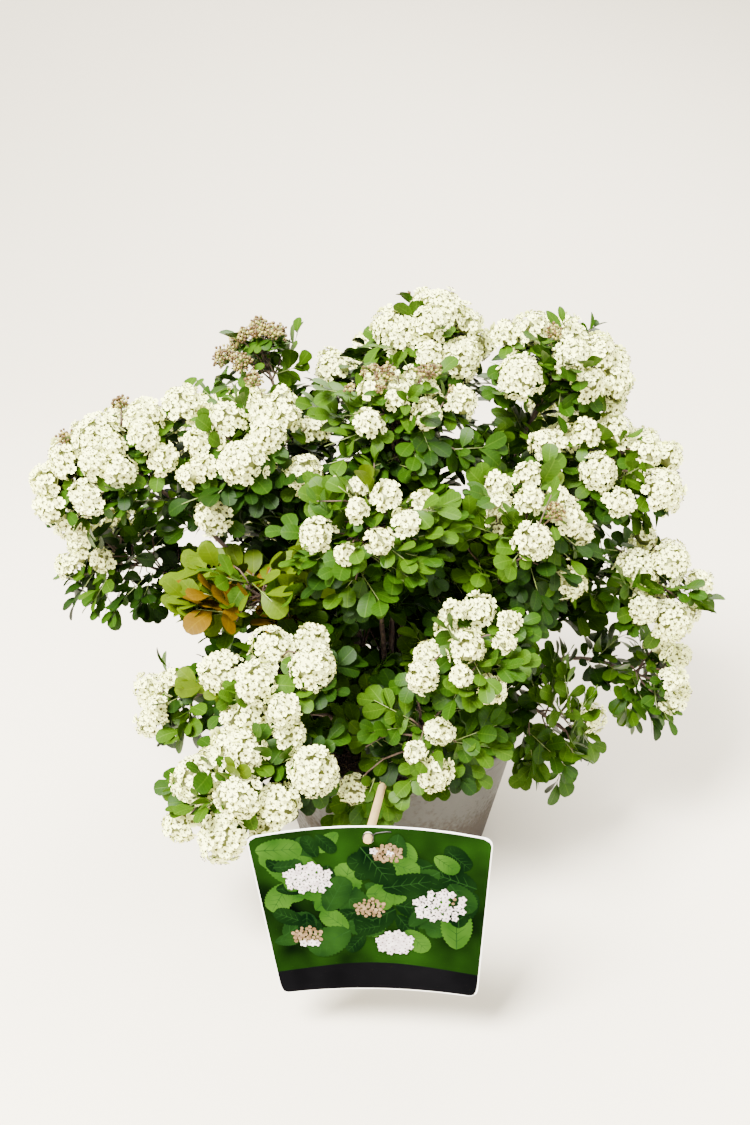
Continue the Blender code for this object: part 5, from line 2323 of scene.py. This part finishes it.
    def build_pictures(self) -> None:
        """Builds the printed leaves and blossom, in a layout of their own."""
        inks = (
            PrintFinish("print_leaf_deep", (0.0006, 0.0035, 0.001), (0.003, 0.012, 0.002), 40.0),
            PrintFinish("print_leaf_mid", (0.002, 0.009, 0.002), (0.008, 0.028, 0.004), 40.0),
            PrintFinish("print_leaf_pale", (0.008, 0.032, 0.003), (0.028, 0.072, 0.008), 40.0),
            PrintFinish("print_vein", (0.009, 0.030, 0.006), (0.004, 0.016, 0.003), 60.0),
            PrintFinish("print_petal", (0.60, 0.55, 0.55), (0.30, 0.25, 0.26), 260.0),
            PrintFinish("print_bud", (0.20, 0.135, 0.075), (0.075, 0.043, 0.020), 300.0),
            PrintFinish("print_heart", (0.05, 0.025, 0.012), (0.03, 0.018, 0.008), 300.0),
        )
        pieces = [self.print_piece(ink) for ink in inks]
        rng = random.Random("label pictures")
        for k in range(self.leaves_tried):
            self.print_leaf(pieces[:3], pieces[3], self.face + 0.0001 + 0.0000045 * k, rng)
        for u, v, wide, blown in (
            (-0.55, 0.72, 0.0165, 1.0), (0.16, 0.86, 0.0105, 0.1), (0.62, 0.56, 0.0180, 0.92),
            (-0.02, 0.52, 0.0110, 0.0), (-0.64, 0.36, 0.0110, 0.2), (0.20, 0.30, 0.0125, 0.95),
        ):
            self.print_head(pieces[4:], self.spot(u, v, 0.002), wide, blown, rng)
        for piece in pieces:
            piece.build()

    def print_leaf(self, leaves: list[Piece], veins: Piece, proud: float, rng: random.Random) -> None:
        """Prints a toothed leaf with its veins where it has room on the card.

        Args:
            leaves: the pieces of leaves that it is dealt to.
            veins: the piece of veins.
            proud: how far off the card's middle plane it is.
            rng: the source of draws.
        """
        x, z = self.spot(rng.uniform(-1, 1), rng.uniform(0.15, 1.0), 0.002)
        length, turn, fat = rng.uniform(0.017, 0.036), rng.uniform(0, math.tau), rng.uniform(0.26, 0.36)
        east, north = math.cos(turn) * length, math.sin(turn) * length

        def drawn(points: Iterable[Pair]) -> list[Pair]:
            """Puts points on the card, given as shares of the leaf's length and half its width."""
            return [(x + east * s - north * w * fat, z + north * s + east * w * fat) for s, w in points]

        steps = [(k / 24, 2.048 * (1 - 0.10 * (k % 2))) for k in range(1, 24)]
        rim = [(s, fullness * s**0.6 * (1 - s) ** 0.45) for s, fullness in steps]
        outline = drawn([(0.0, 0.0), *rim, (1.0, 0.0), *[(s, -w) for s, w in rim[::-1]]])
        if self.inside(outline, 0.0065):
            self.patch(leaves[rng.choice((0, 0, 1, 1, 2))], outline, proud)
            ribs = [(s, 0.0, s + 0.16, w) for s in (0.2, 0.38, 0.56, 0.72) for w in (-0.55, 0.55)]
            for s0, w0, s1, w1 in [(0.0, 0.0, 0.97, 0.0), *ribs]:
                thin = drawn([(s0, w0 - 0.03), (s0, w0 + 0.03), (s1, w1 + 0.01), (s1, w1 - 0.01)])
                self.patch(veins, thin, proud + 0.00000225)

    def print_head(
        self, pieces: list[Piece], at: Pair, wide: float, blown: float, rng: random.Random
    ) -> None:
        """Prints a head of flowers and buds.

        Args:
            pieces: the pieces of petals, buds and flower hearts.
            at: its middle on the card.
            wide: half its width.
            blown: the share of open flowers.
            rng: the source of draws.
        """
        for k in range(self.flowers_a_head):
            r = wide * math.sqrt((k + 0.5) / self.flowers_a_head)
            x, z = at[0] + r * math.cos(k * GOLDEN), at[1] + r * 0.70 * math.sin(k * GOLDEN)
            flower = rng.random() < blown
            size = rng.uniform(0.0021, 0.0027) if flower else rng.uniform(0.0010, 0.0016)
            outline = []
            for t in (math.tau * j / 20 for j in range(20)):
                lobed = size * (1 + 0.22 * math.cos(5 * t) * flower)
                outline.append((x + lobed * math.cos(t), z + lobed * math.sin(t)))
            if self.inside(outline, 0.0) and math.hypot(x, z) > 0.0085:
                proud = self.face + 0.0009 + 0.000006 * k
                self.patch(pieces[0 if flower else 1], outline, proud)
                if flower:
                    self.patch(pieces[2], self.oval(x, z, 0.00055, 0.00055, 8), proud + 0.000003)

    def build_peg(self) -> None:
        """Builds the peg, round and cut on a slant."""
        foot, tip, sides, steps = PEG.foot(), PEG.tip, self.peg_sides, self.peg_steps
        line = np.array([foot.lerp(tip, k / steps) for k in range(steps + 1)])
        points, faces = tubes(line[None], [PEG.radius] * steps + [PEG.radius * 0.93], sides)
        rise = (points[-sides:] - np.array(tip))[:, 2] * (PEG.slant / PEG.radius)
        points[-sides:] += np.outer(rise, np.array(PEG.axis()))
        piece = Piece("peg_wood", WoodFinish().material(), "peg", ["label_peg"], sharp=50)
        piece.add(points, faces)
        piece.build()

    def build_tie(self) -> None:
        """Builds the dark tie round the peg at the card, and a dark line on the card's face by its top edge
        that paints the shade in the slit that the peg passes through.
        """
        axis = PEG.axis()
        centre = self.hole() + axis * 0.0014
        ring = [centre + round_about(axis, math.tau * k / 36) * (PEG.radius + 0.0004) for k in range(37)]
        # the dark line by the card's top edge: painted shade for the slit that the peg passes through
        reach = [(0.0030, 0.0022), (0.0055, 0.0040), (0.0090, 0.0046), (0.0125, 0.0052), (0.0155, 0.0050)]
        slit_shade = [self.lay(x, z, self.face + 0.00045) for x, z in reach]
        piece = Piece("label_tie", PlainFinish("tie_black", (0.012, 0.011, 0.010), 0.55).material(), "label")
        for line, radius in zip((ring, slit_shade), self.tie_and_slit_radii):
            piece.add(*tubes(np.array([line]), [radius] * len(line), 8))
        piece.build()


# The stage


@dataclass
class Studio:
    """A pale floor that runs up behind, soft lights, and the camera."""

    floor_colour: Colour = (0.69, 0.64, 0.535)
    floor_end: float = 1.4
    sweep: float = 3.0
    half_width: float = 6.0
    camera_place: Triple = (-0.0155, -0.957, 0.654)
    camera_pitch: float = math.radians(67.5)
    lens: float = 39.2
    sensor: float = 36.0
    aim: Triple = (0.0, 0.0, 0.2)
    sky: Colour = (0.96, 0.915, 0.845)
    sky_strength: float = 2.25

    def backdrop(self) -> None:
        """Builds the floor and the wall that it runs up into."""
        tree = ShaderTree("studio_floor")
        colour = tree.mix(tree.noise(3.0, 2.0) * 0.06, self.floor_colour, shaded(self.floor_colour, 0.94))
        turns = np.radians(range(0, 95, 5))
        bend = [(self.sweep * math.sin(turn), self.sweep * (1 - math.cos(turn))) for turn in turns]
        rows = [(-4.0, 0.0), *[(self.floor_end + y, z) for y, z in bend], (self.floor_end + self.sweep, 6.0)]
        points = [(x, y, z) for y, z in rows for x in (-self.half_width, self.half_width)]
        faces = [(2 * k, 2 * k + 1, 2 * k + 3, 2 * k + 2) for k in range(len(rows) - 1)]
        mesh = bpy.data.meshes.new("studio_floor")
        mesh.from_pydata(points, [], faces, shade_flat=False)
        mesh.materials.append(tree.surface(Base_Color=colour, Roughness=0.9, Specular_IOR_Level=0.1))
        placed("studio_floor", mesh)

    def build(self) -> None:
        """Sets up the floor, the soft lights and the camera."""
        self.backdrop()
        for name, place, size, power, colour in (
            ("key_light", (-1.1, -1.4, 2.4), 1.1, 710.0, (1.0, 0.975, 0.92)),
            ("fill_light", (1.9, -1.1, 1.4), 2.0, 66.0, (0.98, 0.985, 1.0)),
            ("back_light", (0.6, 2.0, 2.4), 2.0, 235.0, (1.0, 0.985, 0.95)),
        ):
            lamp = bpy.data.lights.new(name, "AREA")
            lamp.size, lamp.energy, lamp.color = size, power, colour
            obj = placed(name, lamp)
            obj.location = place
            obj.rotation_euler = (Vector(self.aim) - Vector(place)).to_track_quat("-Z", "Y").to_euler()
        world = bpy.data.worlds.new("studio")
        world.use_nodes = True
        background = world.node_tree.nodes["Background"]
        background.inputs["Color"].default_value = (*self.sky, 1.0)
        background.inputs["Strength"].default_value = self.sky_strength
        camera = bpy.data.cameras.new("camera")
        camera.sensor_width, camera.lens = self.sensor, self.lens
        obj = placed("camera", camera)
        obj.location = self.camera_place
        obj.rotation_euler = (self.camera_pitch, 0.0, 0.0)
        bpy.context.scene.world = world
        bpy.context.scene.camera = obj


def main() -> None:
    """Builds the looks piece by piece, in order."""
    logging.basicConfig(level=logging.INFO, format="%(message)s")
    Studio().build()
    masses = grow_masses()
    Pot().build()
    Soil().build()
    wood = Wood()
    wood.stool()
    wood.boughs(masses)
    wood.twigs(masses)
    Blossom().build([head for mass in masses for head in mass.heads])
    Foliage().build(masses)
    Label().build()
    LOG.info("%d triangles in all", Piece.triangles)


if __name__ == "__main__":
    main()
